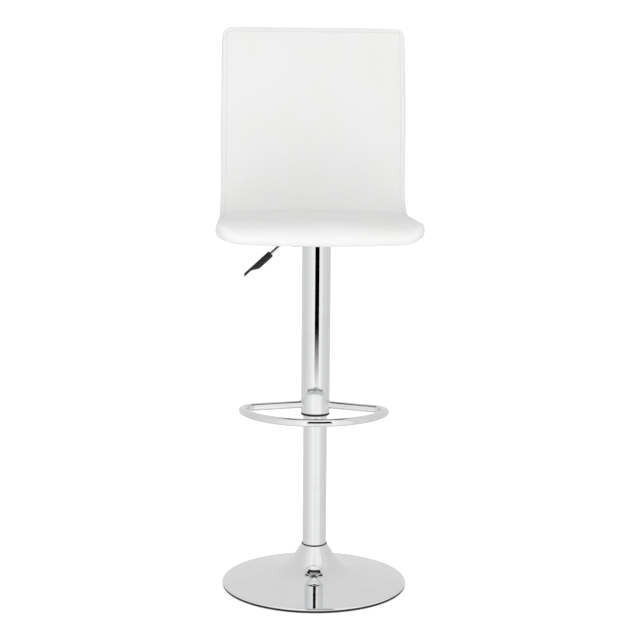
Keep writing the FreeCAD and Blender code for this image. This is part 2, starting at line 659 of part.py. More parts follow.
def tray():
    """The pressed tray: a flanged box with a hole for the cylinder and a slot for the lever."""
    def upright(edge):
        box = edge.BoundBox
        return box.ZLength > 1 and box.XLength < 0.01 and box.YLength < 0.01

    outside = rounded("tray_outside", block("tray_box", "tray_length", "tray_width", "tray_bottom",
                                            "tray_top"), upright, "tray_round")
    inside = rounded("tray_inside", block("tray_hollow", "tray_length - 2 * tray_sheet",
                                          "tray_width - 2 * tray_sheet", "tray_floor", "tray_top"),
                     upright, "tray_round - tray_sheet")
    flange = rounded("tray_flange", block("tray_flange_box", "tray_flange_length", "tray_flange_width",
                                          "flange_bottom", "tray_top"), upright, "tray_round")
    hole = cylinder("tray_hole", "socket_radius", "tray_bottom", "tray_floor")
    slot = block("tray_slot", "tray_length / 2", "slot_width", "tray_floor", "flange_bottom",
                 x="-tray_length / 2")
    tools = [inside, hole, slot] + seat_holes("flange_hole", "seat_bolt_radius + hole_gap",
                                              "flange_bottom", "tray_top")
    subpart(cut("seat_plate", joined("tray_blank", [outside, flange]), tools), "seat_plate")
    taper_foot = "cylinder_radius - (cylinder_radius - taper_tip) * (%s) / taper_length"
    subpart(turned("taper_socket", [
        (taper_foot % "tray_bottom - socket_drop - taper_bottom", "tray_bottom - socket_drop"),
        ("socket_radius", "tray_bottom - socket_drop"), ("socket_radius", "tray_floor"),
        ("taper_tip", "tray_floor"), ("taper_tip", "cylinder_top")]), "taper_socket")


def seat_fasteners():
    """Bolts and washers below the flange, tee nuts in the plywood."""
    for i, (x, y) in enumerate(seat_bolt_places(), start=1):
        shank = cylinder("seat_shank_%d" % i, "seat_bolt_radius", "bolt_head_top",
                         "core_top + nut_sheet - bolt_shortfall", x, y)
        head = cylinder("seat_head_%d" % i, "seat_bolt_head", "bolt_head_top - seat_head_height",
                        "bolt_head_top", x, y)
        subpart(joined("seat_bolt_%d" % i, [shank, head]), "seat_bolt_%d" % i)
        washer = cylinder("washer_disc_%d" % i, "seat_washer_radius", "bolt_head_top", "flange_bottom", x, y)
        washer_hole = cylinder("washer_hole_%d" % i, "seat_bolt_radius + hole_gap", "bolt_head_top",
                               "flange_bottom", x, y)
        subpart(cut("seat_washer_%d" % i, washer, [washer_hole]), "seat_washer_%d" % i)
        barrel = cylinder("nut_barrel_%d" % i, "nut_barrel", "core_bottom", "core_top", x, y)
        flange = cylinder("nut_flange_%d" % i, "nut_flange", "core_top", "core_top + nut_sheet", x, y)
        thread = cylinder("nut_thread_%d" % i, "seat_bolt_radius", "core_bottom", "core_top + nut_sheet",
                          x, y)
        subpart(cut("tee_nut_%d" % i, joined("nut_blank_%d" % i, [barrel, flange]), [thread]),
                "tee_nut_%d" % i)


# ---------------------------------------------------------------- the release lever

def lever():
    """The bent rod on its pivot pin, between the ears of a bracket, with its grip."""
    ear_middle = "-pivot_reach"
    blank = block("bracket_block", "ear_length", "ear_gap + 2 * ear_sheet", "tray_floor", "ear_top",
                  x=ear_middle)
    gap = block("bracket_gap", "ear_length", "ear_gap", "tray_floor + ear_sheet / 2", "ear_top",
                x=ear_middle)
    pin_hole = crossbar("bracket_hole", "pivot_radius", "ear_gap + 2 * ear_sheet", ear_middle,
                        "lever_height")
    subpart(cut("lever_bracket", blank, [gap, pin_hole]), "lever_bracket")
    subpart(crossbar("lever_pin", "pivot_radius", "ear_gap + 2 * (ear_sheet + pivot_overhang)", ear_middle,
                     "lever_height"), "lever_pin")
    rod = tube("lever_bar", "XZ_Plane", ("lever_overrun", "lever_height"), "180", [
        ("lever_overrun + lever_run",), ("lever_bend", "lever_angle", 1),
        ("lever_shank - grip_length + grip_depth",)], "lever_radius")
    bore = crossbar("lever_bore", "pivot_radius + pivot_fit", "4 * lever_radius", ear_middle,
                    "lever_height")
    subpart(cut("lever_rod", rod, [bore]), "lever_rod")
    grip()


def grip():
    """The paddle grip, drawn along -X from its mouth and then turned to follow the rod."""
    body = doc.addObject("PartDesign::Body", "lever_grip")
    side = sketch_on(body, "XZ_Plane", "grip_side")
    polygon(side, [
        ("0", "-grip_thickness / 2"), ("0", "grip_thickness / 2"), ("-grip_length", "grip_thickness / 2"),
        ("-grip_length", "grip_thickness / 2 - grip_blade"),
        ("-grip_shoulder - grip_thickness", "grip_thickness / 2 - grip_blade"),
        ("-grip_shoulder", "-grip_thickness / 2")])
    pad = body.newObject("PartDesign::Pad", "grip_pad")
    pad.Profile = side
    pad.Midplane = True
    bind(pad, {"Length": "grip_width"})
    doc.recompute()
    body_fillet(body, lambda edge: edge.BoundBox.YLength < 0.01 or edge.BoundBox.XMax < -1, "grip_round")
    hole = body.newObject("PartDesign::SubtractiveCylinder", "grip_bore")
    hole.AttachmentSupport = [(origin_plane(body, "YZ_Plane"), "")]
    hole.MapMode = "FlatFace"
    bind(hole, {"Radius": "lever_radius", "Height": "grip_depth",
                "AttachmentOffset.Base.z": "-grip_depth"})
    body.Tip = hole
    body.Placement = Placement(Vector(), Rotation(Vector(0, -1, 0), number("lever_angle")))
    out = "lever_bend * sin(lever_angle * 1deg) + (lever_shank - grip_length) * cos(lever_angle * 1deg)"
    down = "lever_bend * (1 - cos(lever_angle * 1deg)) + (lever_shank - grip_length)" \
           " * sin(lever_angle * 1deg)"
    bind(body, {"Placement.Base.x": "-lever_run - (%s)" % out,
                "Placement.Base.z": "lever_height - (%s)" % down,
                "Placement.Rotation.Angle": "lever_angle * 1deg"})
    subpart(body, "lever_grip")


# ---------------------------------------------------------------- the footrest

def footrest():
    """One tube: spoke, corner bend, front arc, corner bend, spoke, coped to the column."""
    corner_turn = "180 - arc_half - spoke_angle"
    spoke = ("spoke_reach - spoke_start",)
    loop = tube("rest_tube", "XY_Plane",
                ("spoke_start * cos(first_spoke * 1deg)", "-spoke_start * sin(first_spoke * 1deg)"),
                "-first_spoke",
                [spoke, ("rest_bend", corner_turn, -1), ("rest_arc", "2 * arc_half", -1),
                 ("rest_bend", corner_turn, -1), spoke], "rest_radius", "rest_radius - rest_wall")
    bind(loop, {"Placement.Base.z": "rest_height"})
    column = cylinder("rest_cope", "upper_radius", "rest_height - 2 * rest_radius",
                      "rest_height + 2 * rest_radius")
    subpart(cut("footrest_loop", loop, [column]), "footrest_loop")


# ---------------------------------------------------------------- the upholstered seat

def strip(name, inset):
    """The seat's bent strip, made smaller all round by an inset, with its corners cut round."""
    body = doc.addObject("PartDesign::Body", name + "_strip")
    nose = "nose_length - " + inset
    spine = path(body, "YZ_Plane", name + "_path", (
        "-flat_front - nose_lead - (%s) * cos(lip_turn * 1deg)" % nose,
        "seat_middle - lip_radius * (1 - cos(lip_turn * 1deg)) - (%s) * sin(lip_turn * 1deg)" % nose),
        "lip_turn",
        [(nose,), ("lip_radius", "lip_turn", -1), ("flat_front + flat_back",),
         ("bend_radius", "bend_turn", 1), ("back_straight",), ("sweep_radius", "sweep_turn", -1),
         ("top_straight - " + inset,)])
    doc.recompute()
    section = body.newObject("Sketcher::SketchObject", name + "_section")
    section.AttachmentSupport = [(spine, "Edge1")]
    section.MapMode = "NormalToEdge"
    slot_outline(section, "seat_width / 2 - " + inset, "pad_thickness / 2 - " + inset,
                 "pad_round - " + inset)
    pipe = body.newObject("PartDesign::AdditivePipe", name + "_pipe")
    pipe.Profile = section
    pipe.Spine = (spine, [])
    doc.recompute()
    height = "seat_top - (%s)" % inset
    plan = block(name + "_plan", "seat_width - 2 * " + inset, "4 * seat_front",
                 "seat_underside - 2 * pad_thickness", "seat_top + pad_thickness",
                 y="seat_front + " + inset)
    front = block(name + "_front", "seat_width - 2 * " + inset, "4 * seat_front",
                  "seat_underside - 2 * pad_thickness", height)
    face = number("-seat_front + " + inset)
    level = number(height)

    def plan_corner(edge):
        box = edge.BoundBox
        return box.ZLength > 1 and abs(box.YMax - face) < 0.01

    def top_corner(edge):
        box = edge.BoundBox
        return box.YLength > 1 and abs(box.ZMin - level) < 0.01

    pieces = [body, rounded(name + "_plan_round", plan, plan_corner, "corner_front - " + inset),
              rounded(name + "_top_round", front, top_corner, "corner_top - " + inset)]
    result = doc.addObject("Part::MultiCommon", name + "_trimmed")
    result.Shapes = pieces
    return result


def slot_outline(sketch, half_width, half_height, radius):
    """A rectangle about the sketch's origin with round corners."""
    wide, tall, bend = number(half_width), number(half_height), number(radius)
    corners = [(1, 1, 0), (-1, 1, 90), (-1, -1, 180), (1, -1, 270)]
    for index, (x, y, start) in enumerate(corners):
        centre = Vector(x * (wide - bend), y * (tall - bend), 0)
        arc = Part.ArcOfCircle(Part.Circle(centre, Vector(0, 0, 1), bend),
                               math.radians(start), math.radians(start + 90))
        sketch.addGeometry(arc, False)
        constrain(sketch, "Radius", index, radius)
        constrain(sketch, "DistanceX", -1, 1, index, 3, "%d * (%s - (%s))" % (x, half_width, radius))
        constrain(sketch, "DistanceY", -1, 1, index, 3, "%d * (%s - (%s))" % (y, half_height, radius))
    for index in range(4):
        ahead = (index + 1) % 4
        sketch.addGeometry(Part.LineSegment(sketch.Geometry[index].EndPoint,
                                            sketch.Geometry[ahead].StartPoint), False)
        sketch.addConstraint(Sketcher.Constraint("Tangent", index, 2, 4 + index, 1))
        sketch.addConstraint(Sketcher.Constraint("Tangent", 4 + index, 2, ahead, 1))


def seat():
    """Plywood core, foam around it and the cover's skin around the foam."""
    core_holes = seat_holes("core_hole", "nut_barrel", "core_bottom", "core_top")
    subpart(cut("seat_core", strip("core", "core_inset"), core_holes), "seat_core")
    hollow = strip("hollow", "core_inset")
    nuts = seat_holes("foam_nut", "nut_flange", "core_top", "core_top + nut_sheet")
    shanks = seat_holes("foam_hole", "seat_bolt_radius + hole_gap", "seat_underside", "core_bottom")
    tips = seat_holes("foam_tip", "seat_bolt_radius + hole_gap", "core_bottom",
                      "core_top + nut_sheet")
    subpart(cut("seat_foam", strip("foam", "skin"), [hollow] + nuts + shanks + tips), "seat_foam")
    inner = strip("inner", "skin")
    skin_holes = seat_holes("skin_hole", "seat_bolt_radius + hole_gap", "seat_underside - skin",
                            "seat_underside + 2 * skin")
    subpart(cut("seat_cover", strip("outer", "0"), [inner] + skin_holes), "seat_cover")


# ---------------------------------------------------------------- build, check and write

base_shell()
base_floor()
columns()
bearing()
gas_spring()
tray()
seat_fasteners()
lever()
footrest()
seat()
doc.recompute()

for thing in doc.Objects:
    if "Invalid" in thing.State or "Error" in thing.State:
        raise RuntimeError("%s is %s" % (thing.Label, thing.State))
for piece in subparts:
    if piece.Shape.isNull() or not piece.Shape.isValid() or not piece.Shape.Solids:
        raise RuntimeError("%s has no valid solid" % piece.Label)

os.makedirs("parts", exist_ok=True)
for piece in subparts:
    piece.Shape.exportStep("parts/%s.step" % piece.Label)
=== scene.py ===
import json
import math

import bpy
import numpy as np
from mathutils import Matrix, Vector


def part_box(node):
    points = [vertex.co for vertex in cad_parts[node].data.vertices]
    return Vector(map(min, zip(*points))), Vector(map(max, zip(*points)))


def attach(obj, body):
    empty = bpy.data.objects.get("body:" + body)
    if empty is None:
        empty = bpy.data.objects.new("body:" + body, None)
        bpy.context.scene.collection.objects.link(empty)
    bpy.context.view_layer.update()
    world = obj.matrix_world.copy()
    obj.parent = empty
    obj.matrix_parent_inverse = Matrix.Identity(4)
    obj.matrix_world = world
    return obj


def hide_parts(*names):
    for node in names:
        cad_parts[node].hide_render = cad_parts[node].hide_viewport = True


# Adjustable swivel bar stool. Metres, +Z up, the column's axis is the Z axis, the sitter
# faces -Y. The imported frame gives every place; this script gives the surfaces and finishes.

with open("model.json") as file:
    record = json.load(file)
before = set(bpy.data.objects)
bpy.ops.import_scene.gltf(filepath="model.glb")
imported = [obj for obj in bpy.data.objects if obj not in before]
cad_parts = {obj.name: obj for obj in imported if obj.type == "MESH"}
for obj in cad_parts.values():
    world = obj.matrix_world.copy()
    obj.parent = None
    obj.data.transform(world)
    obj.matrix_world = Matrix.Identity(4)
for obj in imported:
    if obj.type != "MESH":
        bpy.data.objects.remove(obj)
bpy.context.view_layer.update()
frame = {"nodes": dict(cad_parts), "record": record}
nodes = frame["nodes"]
MM = 0.001
AROUND = 192


# ---------------------------------------------------------------- helpers for surfaces

def box_of(node):
    """Lowest and highest corner of a CAD node as arrays."""
    low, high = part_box(node)
    return np.array(low), np.array(high)


def new_piece(name, points, faces, body, material, replaced=(), uv=None):
    """Make a mesh object from arrays, let it ride on a body and give it its finish."""
    mesh = bpy.data.meshes.new(name)
    mesh.from_pydata(np.asarray(points).tolist(), [], [list(face) for face in faces])
    face_outward(mesh)
    mesh.polygons.foreach_set("use_smooth", np.full(len(mesh.polygons), True))
    if uv is not None:
        layer = mesh.uv_layers.new(name="surface")
        corners = np.zeros(len(mesh.loops), int)
        mesh.loops.foreach_get("vertex_index", corners)
        layer.data.foreach_set("uv", np.asarray(uv)[corners].ravel())
    mesh.update()
    piece = bpy.data.objects.new(name, mesh)
    bpy.context.scene.collection.objects.link(piece)
    piece.data.materials.append(material)
    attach(piece, body)
    if replaced:
        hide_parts(*replaced)
    return piece


def face_outward(mesh):
    """Turn a closed shell's faces round if the sum of a . (b x c) over its triangles is negative."""
    mesh.calc_loop_triangles()
    corners = np.zeros(len(mesh.loop_triangles) * 3, np.int32)
    mesh.loop_triangles.foreach_get("vertices", corners)
    places = np.zeros(len(mesh.vertices) * 3)
    mesh.vertices.foreach_get("co", places)
    a, b, c = places.reshape(-1, 3)[corners.reshape(-1, 3)].transpose(1, 0, 2)
    if np.einsum("ij,ij->", a, np.cross(b, c)) < 0:
        mesh.flip_normals()


def grid_faces(rows, columns, close_rows=False, close_columns=False):
    """Quads between neighbouring rows and columns of a grid of points."""
    row = np.arange(rows if close_rows else rows - 1)
    column = np.arange(columns if close_columns else columns - 1)
    r, c = np.meshgrid(row, column, indexing="ij")
    r2, c2 = (r + 1) % rows, (c + 1) % columns
    quads = np.stack([r * columns + c, r * columns + c2, r2 * columns + c2, r2 * columns + c], axis=-1)
    return quads.reshape(-1, 4)


def rounded_profile(corners, radii, closed=True, steps=8):
    """An outline with each corner replaced by an arc of its radius, tangent to both sides.

    The arc starts radius * tan(half the turn) before the corner and its points are found by
    turning the first side's normal through equal angles. A support point half a millimetre
    outside each end of the arc keeps the straight sides' shading flat.
    """
    corners = np.asarray(corners, float)
    count = len(corners)
    out = []
    for i, radius in enumerate(radii):
        here = corners[i]
        if radius <= 0 or (not closed and i in (0, count - 1)):
            out.append(here)
            continue
        before = here - corners[i - 1]
        after = corners[(i + 1) % count] - here
        a0 = math.atan2(before[1], before[0])
        turn = math.atan2(after[1], after[0]) - a0
        turn = (turn + math.pi) % (2 * math.pi) - math.pi
        side = 1 if turn > 0 else -1
        start = here - before / np.linalg.norm(before) * radius * math.tan(abs(turn) / 2)
        centre = start + radius * side * np.array([-math.sin(a0), math.cos(a0)])
        angles = a0 + turn * np.linspace(0, 1, steps + 1)
        arc = centre - radius * side * np.stack([-np.sin(angles), np.cos(angles)], axis=1)
        leave = after / np.linalg.norm(after)
        arrive = before / np.linalg.norm(before)
        spare = radius * math.tan(abs(turn) / 2) + 0.9 * MM
        if np.linalg.norm(before) > 2 * spare:
            out.append(arc[0] - arrive * 0.5 * MM)
        out.extend(arc)
        if np.linalg.norm(after) > 2 * spare:
            out.append(arc[-1] + leave * 0.5 * MM)
    return np.array(out)


def turned(name, profile, body, material, replaced=(), around=AROUND):
    """A closed profile of radii and heights turned about the Z axis.

    A point at angle t is (r cos t, r sin t, z); the profile runs with its material on the left.
    """
    profile = np.asarray(profile)
    angle = np.linspace(0, 2 * math.pi, around, endpoint=False)
    radius = profile[:, 0][:, None] * np.ones(around)
    height = profile[:, 1][:, None] * np.ones(around)
    points = np.stack([radius * np.cos(angle), radius * np.sin(angle), height], axis=-1)
    faces = grid_faces(len(profile), around, close_rows=True, close_columns=True)[:, ::-1]
    return new_piece(name, points.reshape(-1, 3), faces, body, material, replaced)


def carried(name, route, profile, body, material, replaced=(), closed=False, up=(0, 0, 1)):
    """A round section carried along a route of points.

    profile holds for each route point a radius; the section's plane is spanned by the route's
    side direction (tangent x up) and the direction square to both.
    """
    route = np.asarray(route, float)
    if closed:
        tangent = np.roll(route, -1, axis=0) - np.roll(route, 1, axis=0)
    else:
        tangent = np.gradient(route, axis=0)
    tangent /= np.linalg.norm(tangent, axis=1)[:, None]
    side = np.cross(tangent, np.asarray(up, float))
    side /= np.linalg.norm(side, axis=1)[:, None]
    other = np.cross(side, tangent)
    columns = profile.shape[1]
    angle = np.linspace(0, 2 * math.pi, columns, endpoint=False)
    ring = side[:, None] * np.cos(angle)[None, :, None] + other[:, None] * np.sin(angle)[None, :, None]
    points = route[:, None] + ring * profile[:, :, None]
    faces = grid_faces(len(route), columns, close_rows=closed, close_columns=True)
    points = points.reshape(-1, 3)
    if not closed:
        points, faces = capped(points, faces.tolist(), columns, len(route))
    return new_piece(name, points, faces, body, material, replaced)


def capped(points, faces, columns, rows):
    """Close both ends of a tube of points with a fan to a middle point."""
    last = (rows - 1) * columns
    first_middle, last_middle = len(points), len(points) + 1
    points = np.vstack([points, points[:columns].mean(axis=0), points[last:last + columns].mean(axis=0)])
    for i in range(columns):
        j = (i + 1) % columns
        faces.append([j, i, first_middle])
        faces.append([last + i, last + j, last_middle])
    return points, faces


def turtle(start, heading, steps, spacing):
    """Points along lines and tangent arcs: each step is (length, turn); the turn is spread evenly."""
    place = np.array(start, float)
    points = [place.copy()]
    for length, turn in steps:
        count = max(1, int(round(length / spacing)))
        piece = length / count
        for _ in range(count):
            heading += turn / count / 2
            chord = piece if abs(turn) < 1e-9 else 2 * length / abs(turn) * math.sin(abs(turn) / count / 2)
            place = place + chord * np.array([math.cos(heading), math.sin(heading)])
            heading += turn / count / 2
            points.append(place.copy())
    return np.array(points)


# ---------------------------------------------------------------- helpers for materials

def group(name, inputs, outputs):
    """A new shader node group with named value inputs and outputs."""
    tree = bpy.data.node_groups.new(name, "ShaderNodeTree")
    for label, default in inputs:
        socket = tree.interface.new_socket(label, in_out="INPUT", socket_type="NodeSocketFloat")
        socket.default_value = default
    for label, kind in outputs:
        tree.interface.new_socket(label, in_out="OUTPUT", socket_type=kind)
    return tree, tree.nodes.new("NodeGroupInput"), tree.nodes.new("NodeGroupOutput")


def add(tree, kind, settings=None, inputs=None):
    """A node with its settings, its input values and the sockets that feed it."""
    node = tree.nodes.new(kind)
    for key, value in (settings or {}).items():
        setattr(node, key, value)
    for key, value in (inputs or {}).items():
        if isinstance(value, bpy.types.NodeSocket):
            tree.links.new(value, node.inputs[key])
        else:
            node.inputs[key].default_value = value
    return node


def maths(tree, operation, first, second=None, third=None):
    """The result of a Math node on one to three values or sockets."""
    inputs = {0: first}
    if second is not None:
        inputs[1] = second
    if third is not None:
        inputs[2] = third
    return add(tree, "ShaderNodeMath", {"operation": operation}, inputs).outputs[0]


def ramp(tree, value, low, high, to_low=0.0, to_high=1.0):
    """Map a value from low..high to new limits, clamped."""
    node = add(tree, "ShaderNodeMapRange", {"clamp": True}, {
        "Value": value, "From Min": low, "From Max": high, "To Min": to_low, "To Max": to_high})
    return node.outputs["Result"]


def mixed(tree, factor, first, second):
    """A colour between two colours."""
    node = add(tree, "ShaderNodeMix", {"data_type": "RGBA"})
    for index, value in ((0, factor), (6, first), (7, second)):
        if isinstance(value, bpy.types.NodeSocket):
            tree.links.new(value, node.inputs[index])
        else:
            node.inputs[index].default_value = value
    return node.outputs[2]


def noise(tree, vector, scale, detail, roughness):
    """Cloudy noise over a vector, from 0 to 1."""
    return add(tree, "ShaderNodeTexNoise", None, {"Vector": vector, "Scale": scale, "Detail": detail,
                                                  "Roughness": roughness}).outputs["Fac"]


def build_handled():
    """Handling marks: cloudy smudges and fine dust, as two masks."""
    tree, inlet, outlet = group("handled", [("Size", 30.0)],
                                [("Smudge", "NodeSocketFloat"), ("Dust", "NodeSocketFloat")])
    where = add(tree, "ShaderNodeTexCoord").outputs["Object"]
    cloud = noise(tree, where, inlet.outputs["Size"], 5.0, 0.6)
    tree.links.new(ramp(tree, cloud, 0.42, 0.72), outlet.inputs["Smudge"])
    specks = noise(tree, where, 900.0, 2.0, 0.6)
    tree.links.new(ramp(tree, specks, 0.62, 0.75), outlet.inputs["Dust"])
    return tree


def build_hairlines():
    """Fine polishing scratches: noise stretched around the turned direction."""
    tree, inlet, outlet = group("hairlines", [("Stretch", 60.0)], [("Lines", "NodeSocketFloat")])
    where = add(tree, "ShaderNodeTexCoord").outputs["Object"]
    scale = add(tree, "ShaderNodeCombineXYZ", None, {"X": 12.0, "Y": 12.0})
    height = maths(tree, "MULTIPLY", inlet.outputs["Stretch"], 30.0)
    tree.links.new(height, scale.inputs["Z"])
    squeezed = add(tree, "ShaderNodeVectorMath", {"operation": "MULTIPLY"},
                   {0: where, 1: scale.outputs[0]}).outputs[0]
    lines = noise(tree, squeezed, 1.0, 3.0, 0.7)
    tree.links.new(ramp(tree, lines, 0.35, 0.65), outlet.inputs["Lines"])
    return tree


def build_pebble():
    """Moulded grain: small cells with soft valleys between them, as height and valley mask."""
    tree, inlet, outlet = group("pebble", [("Cells", 800.0), ("Fine", 2600.0)],
                                [("Height", "NodeSocketFloat"), ("Valley", "NodeSocketFloat")])
    where = add(tree, "ShaderNodeTexCoord").outputs["Object"]
    drift = add(tree, "ShaderNodeTexNoise", None, {"Vector": where, "Scale": 240.0, "Detail": 2.0})
    bent = add(tree, "ShaderNodeVectorMath", {"operation": "MULTIPLY_ADD"},
               {0: drift.outputs["Color"], 1: (0.0016, 0.0016, 0.0016), 2: where}).outputs[0]
    cells = add(tree, "ShaderNodeTexVoronoi", {"feature": "DISTANCE_TO_EDGE"},
                {"Vector": bent, "Scale": inlet.outputs["Cells"]}).outputs["Distance"]
    valley = ramp(tree, cells, 0.0, 0.22, 1.0, 0.0)
    crumb = noise(tree, where, inlet.outputs["Fine"], 3.0, 0.6)
    raised = maths(tree, "MULTIPLY_ADD", crumb, 0.35, maths(tree, "SUBTRACT", 1.0, valley))
    tree.links.new(raised, outlet.inputs["Height"])
    tree.links.new(valley, outlet.inputs["Valley"])
    return tree


HANDLED = build_handled()
HAIRLINES = build_hairlines()
PEBBLE = build_pebble()


def finish_of(name, settings):
    """A material with one Principled shader whose plain sockets are set directly."""
    material = bpy.data.materials.new(name)
    material.use_nodes = True
    tree = material.node_tree
    shader = tree.nodes["Principled BSDF"]
    for key, value in settings.items():
        shader.inputs[key].default_value = value
    return material, tree, shader


def place_group(tree, built, values=None):
    """A shader group placed in a material, with its own values."""
    node = tree.nodes.new("ShaderNodeGroup")
    node.node_tree = built
    for key, value in (values or {}).items():
        node.inputs[key].default_value = value
    return node


def bump(tree, shader, height, strength, distance):
    """Feed a height into the shader's normal."""
    node = add(tree, "ShaderNodeBump", None,
               {"Height": height, "Strength": strength, "Distance": distance})
    tree.links.new(node.outputs["Normal"], shader.inputs["Normal"])


def metal(name, color, smudged, rough, rough_smudged, lines=0.02, metallic=1.0):
    """Bare or plated metal: colour and roughness vary with handling, with faint polishing lines."""
    material, tree, shader = finish_of(name, {"Metallic": metallic})
    marks = place_group(tree, HANDLED)
    hair = place_group(tree, HAIRLINES)
    tree.links.new(mixed(tree, marks.outputs["Smudge"], (*color, 1), (*smudged, 1)),
                   shader.inputs["Base Color"])
    soft = maths(tree, "MULTIPLY_ADD", marks.outputs["Smudge"], rough_smudged - rough, rough)
    soft = maths(tree, "MULTIPLY_ADD", marks.outputs["Dust"], 0.05, soft)
    tree.links.new(soft, shader.inputs["Roughness"])
    bump(tree, shader, hair.outputs["Lines"], lines, 0.0001)
    return material


def moulded(name, color, worn, rough, cells, strength, distance=0.00012):
    """Moulded plastic or rubber: grained, a little lighter on the worn high spots."""
    material, tree, shader = finish_of(name, {"Specular IOR Level": 0.4})
    grain = place_group(tree, PEBBLE, {"Cells": cells})
    marks = place_group(tree, HANDLED, {"Size": 60.0})
    wear = maths(tree, "MULTIPLY", marks.outputs["Smudge"], grain.outputs["Height"])
    tree.links.new(mixed(tree, wear, (*color, 1), (*worn, 1)), shader.inputs["Base Color"])
    soft = maths(tree, "MULTIPLY_ADD", grain.outputs["Valley"], 0.2, rough)
    tree.links.new(maths(tree, "MULTIPLY_ADD", marks.outputs["Smudge"], -0.08, soft),
                   shader.inputs["Roughness"])
    bump(tree, shader, grain.outputs["Height"], strength, distance)
    return material


def leatherette():
    """White coated fabric: fine pebble grain with painted shade in its valleys (darker and a little warm), soft
    sheen.
    """
    material, tree, shader = finish_of("white_leatherette", {
        "Specular IOR Level": 0.42, "Coat Weight": 0.12, "Coat Roughness": 0.35, "IOR": 1.48})
    grain = place_group(tree, PEBBLE, {"Cells": 720.0, "Fine": 2400.0})
    marks = place_group(tree, HANDLED, {"Size": 7.0})
    base = mixed(tree, marks.outputs["Smudge"], (0.84, 0.84, 0.838, 1), (0.815, 0.813, 0.806, 1))
    # painted shade: the grain's valleys are mixed toward a darker, warmer grey
    shade = maths(tree, "MULTIPLY", grain.outputs["Valley"], 0.3)
    tree.links.new(mixed(tree, shade, base, (0.70, 0.695, 0.68, 1)), shader.inputs["Base Color"])
    soft = maths(tree, "MULTIPLY_ADD", grain.outputs["Valley"], 0.14, 0.46)
    tree.links.new(maths(tree, "MULTIPLY_ADD", marks.outputs["Smudge"], -0.06, soft),
                   shader.inputs["Roughness"])
    bump(tree, shader, grain.outputs["Height"], 0.35, 0.00016)
    return material


def thread():
    """Spun white thread: fine diagonal plies, with painted shade in the grooves between them."""
    material, tree, shader = finish_of("white_thread", {"Specular IOR Level": 0.3, "Sheen Weight": 0.3})
    where = add(tree, "ShaderNodeTexCoord").outputs["UV"]
    plies = add(tree, "ShaderNodeTexWave", {"bands_direction": "DIAGONAL"},
                {"Vector": where, "Scale": 2.2, "Distortion": 0.6}).outputs["Fac"]
    # painted shade: darker grey in the plies' grooves, white on their crowns, following the bump
    tree.links.new(mixed(tree, plies, (0.60, 0.60, 0.59, 1), (0.80, 0.80, 0.79, 1)),
                   shader.inputs["Base Color"])
    tree.links.new(ramp(tree, plies, 0.0, 1.0, 0.75, 0.55), shader.inputs["Roughness"])
    bump(tree, shader, plies, 0.6, 0.0002)
    return material


def nonwoven():
    """Thin black spun cloth: a matt felt of crossed fibres with pressed points."""
    material, tree, shader = finish_of("black_nonwoven", {"Specular IOR Level": 0.2, "Sheen Weight": 0.15})
    where = add(tree, "ShaderNodeTexCoord").outputs["Object"]
    fibres = noise(tree, where, 700.0, 5.0, 0.7)
    points = add(tree, "ShaderNodeTexVoronoi", None,
                 {"Vector": where, "Scale": 420.0}).outputs["Distance"]
    height = maths(tree, "MULTIPLY_ADD", ramp(tree, points, 0.1, 0.35), 0.6, fibres)
    tree.links.new(mixed(tree, fibres, (0.006, 0.006, 0.007, 1), (0.026, 0.026, 0.028, 1)),
                   shader.inputs["Base Color"])
    tree.links.new(ramp(tree, fibres, 0.3, 0.7, 0.95, 0.8), shader.inputs["Roughness"])
    bump(tree, shader, height, 0.5, 0.0002)
    return material


def wooden():
    """Birch plywood seen at its edges."""
    material, tree, shader = finish_of("birch_ply", {"Roughness": 0.6})
    where = add(tree, "ShaderNodeTexCoord").outputs["Object"]
    wave = add(tree, "ShaderNodeTexWave", None, {"Vector": where, "Scale": 90.0, "Distortion": 3.0,
                                                 "Detail": 3.0}).outputs["Fac"]
    tree.links.new(mixed(tree, wave, (0.62, 0.46, 0.28, 1), (0.74, 0.60, 0.40, 1)), shader.inputs["Base Color"])
    bump(tree, shader, wave, 0.2, 0.0002)
    return material


CHROME = metal("polished_chrome", (0.86, 0.865, 0.87), (0.83, 0.835, 0.84), 0.035, 0.07)
PLATED = metal("zinc_plate", (0.56, 0.57, 0.58), (0.47, 0.48, 0.49), 0.32, 0.45, 0.1)
BEARING = metal("ground_steel", (0.66, 0.67, 0.68), (0.58, 0.59, 0.60), 0.2, 0.3, 0.08)
CAST = metal("cast_iron", (0.16, 0.155, 0.15), (0.11, 0.105, 0.10), 0.6, 0.75, 0.3)
ENAMEL = metal("black_enamel", (0.02, 0.02, 0.022), (0.03, 0.03, 0.03), 0.3, 0.42, 0.04, metallic=0.0)
GRIP = moulded("grained_black_plastic", (0.020, 0.020, 0.021), (0.034, 0.034, 0.035), 0.42, 900.0, 0.5)
RING = moulded("smooth_black_plastic", (0.012, 0.012, 0.013), (0.022, 0.022, 0.023), 0.34, 1500.0, 0.15)
RUBBER = moulded("black_rubber", (0.016, 0.016, 0.016), (0.04, 0.039, 0.038), 0.62, 1100.0, 0.4)
LEATHER = leatherette()
THREAD = thread()
LINING = nonwoven()
PLY = wooden()
FOAM = moulded("cream_foam", (0.78, 0.72, 0.52), (0.82, 0.77, 0.58), 0.8, 500.0, 0.6)

NODE_FINISH = {"chrome": CHROME, "black_plastic": RING, "rubber": RUBBER, "plated_steel": PLATED,
               "bearing_steel": BEARING, "black_steel": ENAMEL, "cast_iron": CAST, "upholstery": LEATHER,
               "foam": FOAM, "plywood": PLY}


def finish_cad_nodes():
    """Give every CAD node the finish of its record slot."""
    for entry in frame["record"]["subparts"]:
        materials = nodes[entry["node"]].data.materials
        for index in range(len(materials)):
            materials[index] = NODE_FINISH[entry["material_slot"]]


# ---------------------------------------------------------------- camera, light and floor

